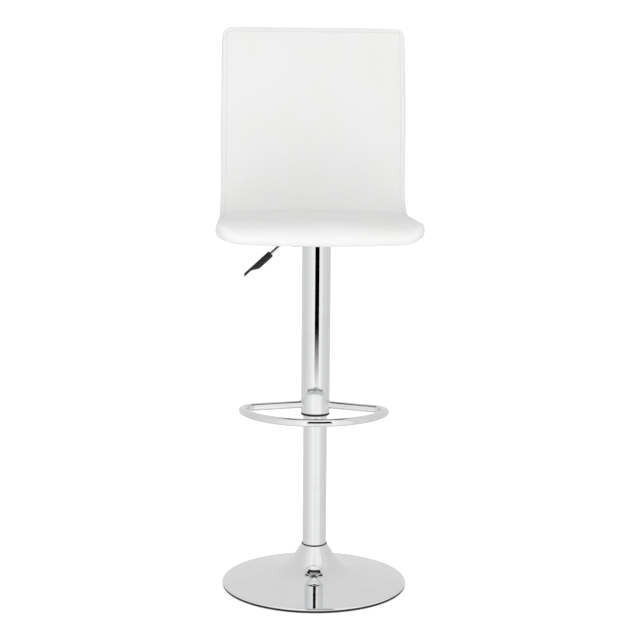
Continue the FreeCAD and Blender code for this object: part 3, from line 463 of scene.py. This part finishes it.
def camera():
    """A long lens in front of the stool, a little to its left, looking down by eight degrees."""
    distance, height = 3.0, 0.987
    azimuth, pitch, roll = math.radians(-2.8), math.radians(7.975), math.radians(0.5)
    aside = math.radians(0.16)
    data = bpy.data.cameras.new("camera")
    data.lens = 81.87
    data.sensor_width = 36.0
    view = bpy.data.objects.new("camera", data)
    turn = Matrix.Rotation(azimuth - aside, 4, "Z")
    tilt = Matrix.Rotation(math.pi / 2 - pitch, 4, "X") @ Matrix.Rotation(roll, 4, "Z")
    place = Vector((distance * math.sin(azimuth), -distance * math.cos(azimuth), height))
    view.matrix_world = Matrix.Translation(place) @ turn @ tilt
    bpy.context.scene.collection.objects.link(view)
    bpy.context.scene.camera = view


def staged_sheet(name, corners, material):
    """A flat sheet of the studio, not part of the stool."""
    mesh = bpy.data.meshes.new(name)
    mesh.from_pydata(corners, [], [[0, 1, 2, 3]])
    mesh.materials.append(material)
    sheet = bpy.data.objects.new(name, mesh)
    bpy.context.scene.collection.objects.link(sheet)
    return sheet


def card(name, azimuths, distance, top, strength, foot_strength):
    """An upright studio card on the floor that only shows in reflections.

    It spans two azimuths round the stool, counted from the front toward the right, and its
    brightness runs from foot_strength at the floor to strength a little way up.
    """
    material, tree, shader = finish_of(name, {"Base Color": (0, 0, 0, 1), "Roughness": 1.0,
                                              "Specular IOR Level": 0.0, "Emission Color": (1, 1, 1, 1)})
    height = add(tree, "ShaderNodeSeparateXYZ", None,
                 {0: add(tree, "ShaderNodeTexCoord").outputs["Object"]}).outputs["Z"]
    tree.links.new(ramp(tree, height, 0.0, 0.2, foot_strength, strength),
                   shader.inputs["Emission Strength"])
    turns = [math.radians(azimuth) for azimuth in azimuths]
    (x0, y0), (x1, y1) = [(distance * math.sin(a), -distance * math.cos(a)) for a in turns]
    sheet = staged_sheet(name, [(x0, y0, 0.0), (x1, y1, 0.0), (x1, y1, top), (x0, y0, top)], material)
    sheet.visible_camera = False
    sheet.visible_diffuse = False
    sheet.visible_shadow = False


AROUND_LEVELS = [(-180, 0.76), (-100, 0.71), (-69, 0.78), (-43, 0.885), (-25, 0.955), (-20, 1.0), (-16, 1.06),
                 (-13, 0.94), (22, 0.94), (25, 1.06), (29, 0.98), (38, 0.93), (53, 0.90), (56, 0.70), (59, 0.70),
                 (62, 0.78), (75, 0.78), (90, 0.72), (110, 0.71), (180, 0.76)]


def build_surround():
    """Brightness of the studio by direction round the stool, for reflections.

    The angle is atan2(x, -y): zero toward the front, positive to the right. Brightness falls
    from the front to the sides, with a thin bright edge on each side of the camera's gap and
    a grey stand at the right.
    """
    tree, inlet, outlet = group("surround", [], [("Level", "NodeSocketFloat")])
    tree.interface.new_socket("Toward", in_out="INPUT", socket_type="NodeSocketVector")
    parts = add(tree, "ShaderNodeSeparateXYZ", None, {0: inlet.outputs["Toward"]})
    front = maths(tree, "MULTIPLY", parts.outputs["Y"], -1.0)
    angle = maths(tree, "ARCTAN2", parts.outputs["X"], front)
    turn = maths(tree, "MULTIPLY_ADD", angle, 0.5 / math.pi, 0.5)
    stops = add(tree, "ShaderNodeValToRGB", None, {0: turn})
    elements = stops.color_ramp.elements
    for spot, (degrees, level) in enumerate(AROUND_LEVELS):
        place = degrees / 360 + 0.5
        element = elements[spot] if spot < 2 else elements.new(place)
        element.position = place
        element.color = (level / 1.1, level / 1.1, level / 1.1, 1)
    tree.links.new(maths(tree, "MULTIPLY", stops.outputs["Color"], 1.1), outlet.inputs["Level"])
    return tree


def pick(tree, switch, off, on):
    """One of two values, by a ray's kind."""
    return add(tree, "ShaderNodeMix", {"data_type": "FLOAT"}, {0: switch, 2: off, 3: on}).outputs[0]


def studio():
    """White surround and floor, a dark card at the front and two soft lights."""
    surround = build_surround()
    white, tree, shader = finish_of("white_floor", {
        "Roughness": 0.9, "Specular IOR Level": 0.1, "Emission Color": (1, 1, 1, 1)})
    where = add(tree, "ShaderNodeTexCoord").outputs["Object"]
    ray = add(tree, "ShaderNodeLightPath").outputs
    level = place_group(tree, surround)
    tree.links.new(where, level.inputs["Toward"])
    mirrored = maths(tree, "SUBTRACT", level.outputs["Level"], 0.22)
    forward = add(tree, "ShaderNodeSeparateXYZ", None, {0: where}).outputs["Y"]
    glow = pick(tree, ray["Is Glossy Ray"], ramp(tree, forward, -1.0, 0.6, 0.40, 0.0), mirrored)
    tree.links.new(pick(tree, ray["Is Camera Ray"], glow, 0.42), shader.inputs["Emission Strength"])
    tree.links.new(mixed(tree, ray["Is Glossy Ray"], (0.88, 0.88, 0.88, 1), (0.24, 0.24, 0.24, 1)),
                   shader.inputs["Base Color"])
    far = 40.0
    staged_sheet("floor", [(-far, -far, 0), (far, -far, 0), (far, far, 0), (-far, far, 0)], white)
    card("dark_gap", (-12.2, 22.2), 2.4, 2.4, 0.0, 0.9)

    world = bpy.data.worlds.new("white_surround")
    world.use_nodes = True
    tree = world.node_tree
    shade = tree.nodes["Background"]
    toward = add(tree, "ShaderNodeTexCoord").outputs["Generated"]
    parts = add(tree, "ShaderNodeSeparateXYZ", None, {0: toward})
    soft = ramp(tree, parts.outputs["Y"], -1.0, 1.0, 0.95, 0.72)
    level = place_group(tree, surround)
    tree.links.new(toward, level.inputs["Toward"])
    ray = add(tree, "ShaderNodeLightPath").outputs
    bright = pick(tree, ray["Is Glossy Ray"], soft, level.outputs["Level"])
    strength = pick(tree, ray["Is Camera Ray"], bright, 1.05)
    tree.links.new(strength, shade.inputs["Strength"])
    shade.inputs["Color"].default_value = (1, 1, 1, 1)
    bpy.context.scene.world = world

    lights = (("soft_top", 1.5, (2.4, 1.6), (-0.7, -1.7, 3.0), (0, 0, 0.7)),
              ("soft_front", 11.0, (2.0, 1.2), (-0.2, -3.2, 0.95), (0, 0, 0.88)))
    for name, energy, sides, place, target in lights:
        data = bpy.data.lights.new(name, "AREA")
        data.shape = "RECTANGLE"
        data.size, data.size_y = sides
        data.energy = energy
        lamp = bpy.data.objects.new(name, data)
        lamp.visible_glossy = False
        aim = Vector(target) - Vector(place)
        turn = aim.to_track_quat("-Z", "Y").to_matrix().to_4x4()
        lamp.matrix_world = Matrix.Translation(Vector(place)) @ turn
        bpy.context.scene.collection.objects.link(lamp)
    bpy.context.scene.view_settings.view_transform = "Standard"


# ---------------------------------------------------------------- the round foot

def foot():
    """Chrome foot, rubber edging and the black ring on the neck, turned from their outlines.

    The foot's outline is a lip, a cone at ten degrees, a concave flare and a steep neck; the
    inner outline is the same set in by the sheet's thickness.
    """
    low, high = box_of("base_shell")
    radius, top, rim = high[0], high[2], low[2]
    sheet, bore = 1.5 * MM, 25.3 * MM
    lip, neck_r, neck_z = rim + 4 * MM, 27.4 * MM, top - 2.0 * MM
    cone, neck = math.tan(math.radians(10.6)), math.tan(math.radians(57))
    crease_r = (neck_z + neck_r * neck - lip - radius * cone) / (neck - cone)
    crease_z = lip + (radius - crease_r) * cone
    outer = [(bore, top), (neck_r, neck_z), (crease_r, crease_z), (radius, lip), (radius, rim)]
    inner = [(radius - sheet, rim), (radius - sheet, lip - sheet), (crease_r - sheet, crease_z - sheet),
             (neck_r - sheet, neck_z - sheet), (bore, top - sheet)]
    radii = [0.3 * MM, 2.0 * MM, 85 * MM, 2.8 * MM, 0.4 * MM,
             0.3 * MM, 1.2 * MM, 86.5 * MM, 0.5 * MM, 0.3 * MM]
    turned("foot_chrome", rounded_profile(outer + inner, radii, steps=32), "base", CHROME,
           ["base_shell"], around=256)

    low, high = box_of("floor_ring")
    outside, inside = high[0], 178 * MM
    step, crown = 5 * MM, high[2]
    outline = [(inside, 0), (outside - 0.8 * MM, 0), (outside, 1.0 * MM), (outside, step - 1.0 * MM),
               (outside - 0.5 * MM, step), (radius - sheet, step), (radius - sheet, crown),
               (184 * MM, crown), (184 * MM, 3 * MM), (inside, 3 * MM)]
    turned("foot_rubber", rounded_profile(outline, [0.3 * MM] * len(outline), steps=3), "base",
           RUBBER, ["floor_ring"], around=256)

    low, high = box_of("neck_ring")
    outline = [(25.02 * MM, low[2]), (high[0], low[2]), (high[0], high[2]), (25.02 * MM, high[2])]
    turned("neck_gasket", rounded_profile(outline, [0.1 * MM, 0.3 * MM, 0.45 * MM, 0.1 * MM], steps=6),
           "base", RING, ["neck_ring"])


# ---------------------------------------------------------------- the columns

def columns():
    """The two chrome tubes with softened ends, and the black ring between them."""
    low, high = box_of("lower_column")
    radius, wall = high[0], 2 * MM
    outline = [(radius - wall, low[2]), (radius, low[2]), (radius, high[2]), (radius - wall, high[2])]
    turned("lower_tube", rounded_profile(outline, [0.3 * MM, 0.5 * MM, 0.5 * MM, 0.3 * MM], steps=4),
           "base", CHROME, ["lower_column"])
    low, high = box_of("upper_column")
    radius, wall = high[0], 1.5 * MM
    outline = [(radius - wall, low[2]), (radius, low[2]), (radius, high[2]), (radius - wall, high[2])]
    turned("upper_tube", rounded_profile(outline, [0.3 * MM, 0.6 * MM, 0.3 * MM, 0.3 * MM], steps=4),
           "seat", CHROME, ["upper_column"])
    ring_low, ring_high = box_of("column_end_ring")
    bore, plug = 25.3 * MM, radius - wall
    outline = [(bore, ring_low[2]), (radius, ring_low[2]), (radius, low[2]), (plug, low[2]),
               (plug, ring_high[2]), (bore, ring_high[2])]
    turned("end_ring", rounded_profile(outline, [1.2 * MM, 1.4 * MM, 0.25 * MM, 0.1 * MM, 0.5 * MM, 0.5 * MM],
                                       steps=6), "seat", RING, ["column_end_ring"])


# ---------------------------------------------------------------- the footrest

REST_TUBE = 8 * MM
SPOKE = math.radians(21.0)
TURNED = math.radians(5.0)


def footrest():
    """The footrest's tube along spoke, corner bend, front arc, corner bend and spoke.

    The spoke's length and the arcs' turns follow from the three radii, because each arc is
    tangent to the next. A bead of weld goes round each end where the tube meets the column.
    """
    low, high = box_of("footrest_loop")
    height = (low[2] + high[2]) / 2
    bend, arc, ahead = 36 * MM, 151 * MM, 46 * MM
    column = box_of("upper_column")[1][0]
    reach = ahead * math.sin(SPOKE) + math.sqrt((arc - bend) ** 2 - (bend - ahead * math.cos(SPOKE)) ** 2)
    offset = reach * math.cos(SPOKE) - bend * math.sin(SPOKE)
    half = math.asin(offset / (arc - bend))
    corner = math.pi - half - SPOKE
    begin = column - 1.0 * MM
    first = SPOKE + TURNED
    start = (begin * math.cos(first), -begin * math.sin(first))
    flat = turtle(start, -first, [(reach - begin, 0), (bend * corner, -corner), (arc * 2 * half, -2 * half),
                                  (bend * corner, -corner), (reach - begin, 0)], 3.5 * MM)
    route = np.column_stack([flat, np.full(len(flat), height)])
    carried("footrest_tube", route, np.full((len(route), 40), REST_TUBE), "seat", CHROME,
            ["footrest_loop"])
    for side in (1, -1):
        angle = np.linspace(0, 2 * math.pi, 96, endpoint=False)
        across, up = (REST_TUBE + 0.4 * MM) * np.cos(angle), (REST_TUBE + 0.4 * MM) * np.sin(angle)
        along = np.sqrt((column + 0.4 * MM) ** 2 - across ** 2)
        ripple = 1.9 * MM + 0.22 * MM * np.sin(22 * angle) + 0.12 * MM * np.sin(5 * angle + side)
        spoke = SPOKE + side * TURNED
        x = side * (along * math.cos(spoke) + across * math.sin(spoke))
        y = -along * math.sin(spoke) + across * math.cos(spoke)
        bead = np.column_stack([x, y, height + up])
        if side < 0:
            bead = bead[::-1]
        radii = ripple[:, None] * np.ones(14)
        axis = (side * math.cos(spoke), -math.sin(spoke), 0)
        carried("weld_%s" % ("right" if side > 0 else "left"), bead, radii, "seat", CHROME,
                closed=True, up=axis)


# ---------------------------------------------------------------- the release lever

def lever():
    """The bent rod and its paddle grip.

    The grip's sections are superellipses: full and round near the rod, then its underside
    rises on a smooth ramp so that a thin wide blade is left at the tip.
    """
    low, high = box_of("lever_rod")
    rod = (high[1] - low[1]) / 2
    level, inner = high[2] - rod, high[0]
    slope, run, bend, shank = math.radians(42.5), 58 * MM, 12 * MM, 110 * MM
    length, depth = 72 * MM, 40 * MM
    flat = turtle((inner, level), math.pi, [(inner + run, 0), (bend * slope, slope),
                                            (shank - length + depth, 0)], 1.5 * MM)
    route = np.column_stack([flat[:, 0], np.zeros(len(flat)), flat[:, 1]])
    radii = np.full((len(route), 28), rod)
    radii[0] *= 0.75
    radii[-1] *= 0.8
    carried("lever_bar", route, radii, "lever", CHROME, ["lever_rod"], up=(0, 1, 0))

    out = bend * math.sin(slope) + (shank - length) * math.cos(slope)
    down = bend * (1 - math.cos(slope)) + (shank - length) * math.sin(slope)
    mouth = np.array([-run - out, 0.0, level - down])
    ahead = np.array([-math.cos(slope), 0.0, -math.sin(slope)])
    upward = np.array([-math.sin(slope), 0.0, math.cos(slope)])
    t = np.concatenate([[0, 0.004, 0.012, 0.03], np.linspace(0.05, 0.95, 44), [0.965, 0.98, 0.992, 1.0]])
    end = np.where(t < 0.03, 0.80 + 0.20 * np.sin(np.clip(t / 0.03, 0, 1) * math.pi / 2), 1.0)
    tip = np.sqrt(np.clip(1 - np.clip((t - 0.93) / 0.07, 0, 1) ** 2, 0.0, 1))
    ramped = np.clip((t - 0.50) / 0.27, 0, 1)
    ramped = ramped * ramped * (3 - 2 * ramped)
    top = 7.0 * MM * end * (0.25 + 0.75 * tip)
    bottom = (-7.0 * MM + ramped * 8.5 * MM) * np.where(t < 0.5, end, 1.0)
    bottom = np.where(t > 0.93, top - (7.0 * MM - 1.5 * MM) * (0.2 + 0.8 * tip) * 0.98, bottom)
    half_width = (8.6 * MM + 3.2 * MM * np.clip((t - 0.30) / 0.4, 0, 1)) * end * (0.55 + 0.45 * tip)
    middle, thick = (top + bottom) / 2, (top - bottom) / 2
    angle = np.linspace(0, 2 * math.pi, 48, endpoint=False)
    power = 0.72
    across = np.sign(np.cos(angle)) * np.abs(np.cos(angle)) ** power
    rise = np.sign(np.sin(angle)) * np.abs(np.sin(angle)) ** power
    points = (mouth + t[:, None, None] * length * ahead
              + (middle[:, None] + thick[:, None] * rise)[:, :, None] * upward
              + (half_width[:, None] * across)[:, :, None] * np.array([0.0, 1.0, 0.0]))
    points = points.reshape(-1, 3)
    points, faces = capped(points, grid_faces(len(t), 48, close_columns=True).tolist(), 48, len(t))
    grip = new_piece("paddle_grip", points, faces, "lever", GRIP, ["lever_grip"])
    grip.visible_glossy = False


# ---------------------------------------------------------------- the upholstered seat

THICK = 16.5 * MM
SEAM_SIDE, SEAM_NOSE = 8 * MM, 15 * MM
CORNER_FRONT, CORNER_TOP = 46 * MM, 20 * MM
SEWN_FROM = 110 * MM
SWELL_LIMIT = 4 * MM
GROOVE = 1.5 * MM
EASING_PASSES = 4
CORNER_LIFT = 2.6 * MM
STITCH_PITCH, THREAD_RADIUS, THREAD_SIDES = 6.2 * MM, 0.42 * MM, 8
ROWS_AT_SEAM = np.array([0.0, 1.6, 3.4, 6.0, 10.0, 15.5]) * MM


def centreline():
    """Length, place and heading along the middle of the seat's strip, from nose to top.

    The heading changes evenly along each arc, and the place is the sum of short steps in
    the heading's direction.
    """
    middle = box_of("seat_plate")[1][2] + THICK
    lip, bend, sweep = math.radians(36), math.radians(92), math.radians(14)
    lengths = np.array([16.5 * MM, 50 * MM * lip, 265 * MM, 80 * MM * bend, 60 * MM,
                        700 * MM * sweep, 100.5 * MM])
    turns = np.array([0, -lip, 0, bend, 0, -sweep, 0])
    knots = np.concatenate([[0], np.cumsum(lengths)])
    headings = lip + np.concatenate([[0], np.cumsum(turns)])
    fine = np.linspace(0, knots[-1], 4001)
    heading = np.interp(fine, knots, headings)
    step = fine[1] - fine[0]
    mid = (heading[1:] + heading[:-1]) / 2
    y = np.concatenate([[0], np.cumsum(np.cos(mid) * step)])
    z = np.concatenate([[0], np.cumsum(np.sin(mid) * step)])
    flat_start = knots[2]
    y += -160 * MM - np.interp(flat_start, fine, y)
    z += middle - np.interp(flat_start, fine, z)
    return fine, y, z, heading, knots


FINE, LINE_Y, LINE_Z, LINE_HEADING, KNOTS = centreline()
TOTAL = KNOTS[-1]


def on_strip(x, s, height):
    """A point of the strip: across by x, along by s, and off the middle surface by height."""
    inside = np.clip(s, 0, TOTAL)
    over = s - inside
    heading = np.interp(inside, FINE, LINE_HEADING)
    y = np.interp(inside, FINE, LINE_Y) + over * np.cos(heading) - height * np.sin(heading)
    z = np.interp(inside, FINE, LINE_Z) + over * np.sin(heading) + height * np.cos(heading)
    return np.stack([x * np.ones_like(y), y, z], axis=-1)


def half_width(s):
    """Half the seat's width: widest at the front, narrower up the back."""
    return np.interp(s, [0, KNOTS[3], KNOTS[4], TOTAL], [205.5 * MM, 203.5 * MM, 200.5 * MM, 197.5 * MM])


def panel(a, b):
    """Map a square grid onto the panel between the seams, a rectangle with round corners.

    Inside each corner square of side r the point (p, q) becomes (p sqrt(1 - q2/2),
    q sqrt(1 - p2/2)), which turns the square's corner into a quarter circle.
    """
    s_low, s_high = SEAM_NOSE, TOTAL - SEAM_SIDE
    s = s_low + (b + 1) / 2 * (s_high - s_low)
    wide = half_width(s) - SEAM_SIDE
    x = np.abs(a) * wide
    for r, edge, way in ((CORNER_FRONT - SEAM_SIDE, s_low, -1), (CORNER_TOP - SEAM_SIDE, s_high, 1)):
        p = (x - (wide - r)) / r
        q = way * (s - (edge - way * r)) / r
        inside = (p > 0) & (q > 0)
        p, q = np.clip(p, 0, 1), np.clip(q, 0, 1)
        new_p, new_q = p * np.sqrt(1 - q * q / 2), q * np.sqrt(1 - p * p / 2)
        x = np.where(inside, wide - r + new_p * r, x)
        s = np.where(inside, edge - way * r + way * new_q * r, s)
    return np.sign(a) * x, s


def spaced(half, pitch):
    """Grid lines from -1 to 1 across a half size, closer together beside the two seams."""
    inner = half - ROWS_AT_SEAM[-1]
    count = int(inner / pitch)
    right = np.concatenate([np.linspace(0, inner, count + 1), half - ROWS_AT_SEAM[-2::-1]])
    return np.concatenate([-right[:0:-1], right]) / half


def upholstery():
    """Front panel, boxing round the edge and back panel of the seat as one closed mesh."""
    a = spaced(half_width(0) - SEAM_SIDE, 7.5 * MM)
    b = spaced((TOTAL - SEAM_NOSE - SEAM_SIDE) / 2, 7.5 * MM)
    grid_a, grid_b = np.meshgrid(a, b, indexing="ij")
    x, s = panel(grid_a, grid_b)
    na, nb = x.shape
    index = np.arange(na * nb).reshape(na, nb)
    loop = np.concatenate([index[:-1, 0], index[-1, :-1], index[:0:-1, -1], index[0, :0:-1]])
    lx, ls = x.ravel()[loop], s.ravel()[loop]
    tx, ts = np.roll(lx, -1) - np.roll(lx, 1), np.roll(ls, -1) - np.roll(ls, 1)
    size = np.hypot(tx, ts)
    nx, ns = ts / size, -tx / size

    front = on_strip(x, s, THICK * np.ones_like(x)).reshape(-1, 3)
    back = on_strip(x, s, -THICK * np.ones_like(x)).reshape(-1, 3)
    angle = np.linspace(0, math.pi, 13)[1:-1]
    nose = np.clip(-ns, 0, 1) ** 2
    inset = SEAM_SIDE + (SEAM_NOSE - SEAM_SIDE) * nose
    out = np.sin(angle)[:, None] ** (0.62 + 0.38 * nose)
    up = np.sign(np.cos(angle))[:, None] * np.abs(np.cos(angle))[:, None] ** (0.85 + 0.15 * nose)
    band = on_strip(lx + nx * inset * out, ls + ns * inset * out, THICK * up).reshape(-1, 3)
    points = np.vstack([front, band, back])
    count, ring = na * nb, len(loop)
    back_start = count + len(angle) * ring
    faces = grid_faces(na, nb)
    rows = np.vstack([loop, count + np.arange(len(angle) * ring).reshape(len(angle), ring), back_start + loop])
    ahead = np.roll(rows, -1, axis=1)
    boxing = np.stack([rows[:-1], rows[1:], ahead[1:], ahead[:-1]], axis=-1).reshape(-1, 4)
    faces = np.vstack([faces[:, ::-1], boxing, faces + back_start])
    return points, faces, (na, nb), loop, back_start


def inflate(points, faces, pinned, cap, frames=20):
    """Let the cover swell over its foam as cloth under pressure, with its seams held fast."""
    mesh = bpy.data.meshes.new("swelling")
    mesh.from_pydata(points.tolist(), [], faces.tolist())
    cloth_piece = bpy.data.objects.new("swelling", mesh)
    bpy.context.scene.collection.objects.link(cloth_piece)
    held = cloth_piece.vertex_groups.new(name="held")
    held.add([int(i) for i in np.flatnonzero(pinned)], 1.0, "REPLACE")
    modifier = cloth_piece.modifiers.new("cloth", "CLOTH")
    cloth = modifier.settings
    cloth.quality = 5
    cloth.mass = 0.35
    cloth.tension_stiffness = 30
    cloth.compression_stiffness = 30
    cloth.shear_stiffness = 15
    cloth.bending_stiffness = 4
    cloth.use_pressure = True
    cloth.uniform_pressure_force = 4.0
    cloth.effector_weights.gravity = 0.0
    cloth.vertex_group_mass = "held"
    modifier.point_cache.frame_start = 1
    modifier.point_cache.frame_end = frames
    scene = bpy.context.scene
    for number in range(1, frames + 1):
        scene.frame_set(number)
    evaluated = cloth_piece.evaluated_get(bpy.context.evaluated_depsgraph_get())
    swollen = np.zeros(len(points) * 3)
    evaluated.data.vertices.foreach_get("co", swollen)
    scene.frame_set(1)
    bpy.data.objects.remove(cloth_piece)
    moved = swollen.reshape(-1, 3) - points
    length = np.linalg.norm(moved, axis=1)
    limit = cap * np.tanh(length / cap) / np.maximum(length, 1e-9)
    return points + moved * limit[:, None]


def seat():
    """The padded seat: panels swollen between sewn seams, with its top-stitching."""
    points, faces, (na, nb), loop, back_start = upholstery()
    seam_front, seam_back = loop, back_start + loop
    pinned = np.zeros(len(points), bool)
    pinned[seam_front] = nearest_length(points[seam_front]) > SEWN_FROM
    pinned[seam_back] = True
    plate_high = box_of("seat_plate")[1]
    under = (points[:, 2] < plate_high[2] + 2 * MM) & (np.abs(points[:, 0]) < plate_high[0])
    under &= np.abs(points[:, 1]) < plate_high[1]
    pinned |= under
    points = inflate(points, faces, pinned, SWELL_LIMIT)
    centre = on_strip(np.zeros(len(points)), nearest_length(points), np.zeros(len(points)))
    for seam in (seam_front, seam_back):
        inward = centre[seam] - points[seam]
        inward[:, 0] = 0
        inward /= np.linalg.norm(inward, axis=1)[:, None]
        sewn = np.clip((nearest_length(points[seam]) - SEWN_FROM) / (60 * MM), 0, 1)
        if seam is seam_back:
            sewn = 1.0
        points[seam] += inward * GROOVE * np.reshape(sewn, (-1, 1))
    points += ripples(points, centre)
    points = eased(points, faces)
    uv = np.column_stack([points[:, 0], nearest_length(points)])
    piece = new_piece("padded_seat", points, faces, "seat", LEATHER,
                      ["seat_cover", "seat_foam", "seat_core"], uv=uv)
    piece.data.materials.append(LINING)
    below = points[faces].mean(axis=1)
    edge = 24 * MM
    length = nearest_length(below)
    lined = (np.arange(len(faces)) >= len(faces) - (na - 1) * (nb - 1)) & (length > 40 * MM)
    lined &= (length < KNOTS[3] - 10 * MM) & (np.abs(below[:, 0]) < half_width(length) - edge)
    piece.data.polygons.foreach_set("material_index", lined.astype(np.int32))
    smooth = piece.modifiers.new("rounding", "SUBSURF")
    smooth.levels = smooth.render_levels = 1
    stitch_rows(points, (na, nb), back_start)


def nearest_length(points):
    """For each point the length along the strip's middle of the nearest middle point."""
    coarse = slice(None, None, 8)
    y, z, s = LINE_Y[coarse], LINE_Z[coarse], FINE[coarse]
    gap = (points[:, 1][:, None] - y) ** 2 + (points[:, 2][:, None] - z) ** 2
    return s[np.argmin(gap, axis=1)]


def eased(points, faces):
    """Ease the rounded front, which has no seam, and lift its lower edge toward the corners.

    Each pass moves a point halfway to the mean of its neighbours, as far as it lies in the
    front of the seat.
    """
    edges = np.vstack([faces[:, [i, (i + 1) % 4]] for i in range(4)])
    edges = np.unique(np.sort(edges, axis=1), axis=0)
    edges = np.vstack([edges, edges[:, ::-1]])
    count = np.bincount(edges[:, 0], minlength=len(points))[:, None]
    length = nearest_length(points)
    front = np.clip((120 * MM - length) / (50 * MM), 0, 1)[:, None]
    for _ in range(EASING_PASSES):
        near = np.stack([np.bincount(edges[:, 0], points[edges[:, 1], i], len(points))
                         for i in range(3)], axis=1)
        points = points + 0.5 * front * (near / count - points)
    aside = np.clip((np.abs(points[:, 0]) - 140 * MM) / (62 * MM), 0, 1) ** 2
    points[:, 2] += CORNER_LIFT * aside * np.clip((75 * MM - length) / (50 * MM), 0, 1)
    return points


def ripples(points, centre):
    """Slight unevenness of hand-stretched cover: long soft waves off the middle surface."""
    away = points - centre
    away[:, 0] = 0
    size = np.linalg.norm(away, axis=1)
    away /= np.maximum(size, 1e-6)[:, None]
    s = nearest_length(points)
    wave = 0.5 * np.sin(points[:, 0] * 31 + s * 9) + 0.35 * np.sin(points[:, 0] * 53 - s * 23 + 1.3)
    return away * (wave * 0.45 * MM * np.clip(size / THICK, 0, 1))[:, None]


def stitch_rows(points, shape, back_start):
    """Thread stitches along the front and back panels, one row inside each seam."""
    na, nb = shape
    index = np.arange(na * nb).reshape(na, nb)
    k = 2
    loop = np.concatenate([index[k:-k - 1, k], index[-k - 1, k:-k - 1], index[-k - 1:k:-1, -k - 1],
                           index[k, -k - 1:k:-1]])
    for name, start, side in (("front_stitches", 0, 1), ("back_stitches", back_start, -1)):
        line = points[start + loop]
        closed = np.vstack([line, line[:1]])
        along = np.concatenate([[0], np.cumsum(np.linalg.norm(np.diff(closed, axis=0), axis=1))])
        pitch = along[-1] / round(along[-1] / STITCH_PITCH)
        begins = np.arange(round(along[-1] / pitch)) * pitch
        place = np.stack([np.interp(begins, along, closed[:, i]) for i in range(3)], axis=-1)
        if side > 0:
            begins = begins[nearest_length(place) > SEWN_FROM + 40 * MM]
        parts = np.linspace(0, 0.74 * pitch, 7)
        where = begins[:, None] + parts
        spine = np.stack([np.interp(where, along, closed[:, i]) for i in range(3)], axis=-1)
        middle = on_strip(np.zeros(where.size), nearest_length(spine.reshape(-1, 3)), np.zeros(where.size))
        off = spine.reshape(-1, 3) - middle
        off[:, 0] = 0
        off = (off / np.linalg.norm(off, axis=1)[:, None]).reshape(spine.shape)
        arch = np.sin(parts / parts[-1] * math.pi)
        spine = spine + off * (arch * 0.45 * MM - 0.05 * MM)[None, :, None]
        tangent = np.gradient(spine, axis=1)
        tangent /= np.linalg.norm(tangent, axis=2)[:, :, None]
        aside = np.cross(tangent, off)
        angle = np.linspace(0, 2 * math.pi, THREAD_SIDES, endpoint=False)
        radius = THREAD_RADIUS * (0.35 + 0.65 * arch) * 1.15
        rings = spine[:, :, None] + radius[None, :, None, None] * (
            aside[:, :, None] * np.cos(angle)[:, None] + off[:, :, None] * np.sin(angle)[:, None])
        single = grid_faces(len(parts), THREAD_SIDES, close_columns=True)
        first = np.arange(len(begins)) * len(parts) * THREAD_SIDES
        faces = (single[None] + first[:, None, None]).reshape(-1, 4).tolist()
        last = (len(parts) - 1) * THREAD_SIDES
        for base in first.tolist():
            faces.append([base + i for i in range(THREAD_SIDES - 1, -1, -1)])
            faces.append([base + last + i for i in range(THREAD_SIDES)])
        uv_u = np.broadcast_to(parts[None, :, None] / MM, rings.shape[:3])
        uv_v = np.broadcast_to(angle[None, None, :] / math.pi, rings.shape[:3])
        uv = np.stack([uv_u, uv_v], axis=-1).reshape(-1, 2)
        new_piece(name, rings.reshape(-1, 3), faces, "seat", THREAD, uv=uv)


camera()
studio()
finish_cad_nodes()
foot()
columns()
footrest()
lever()
seat()
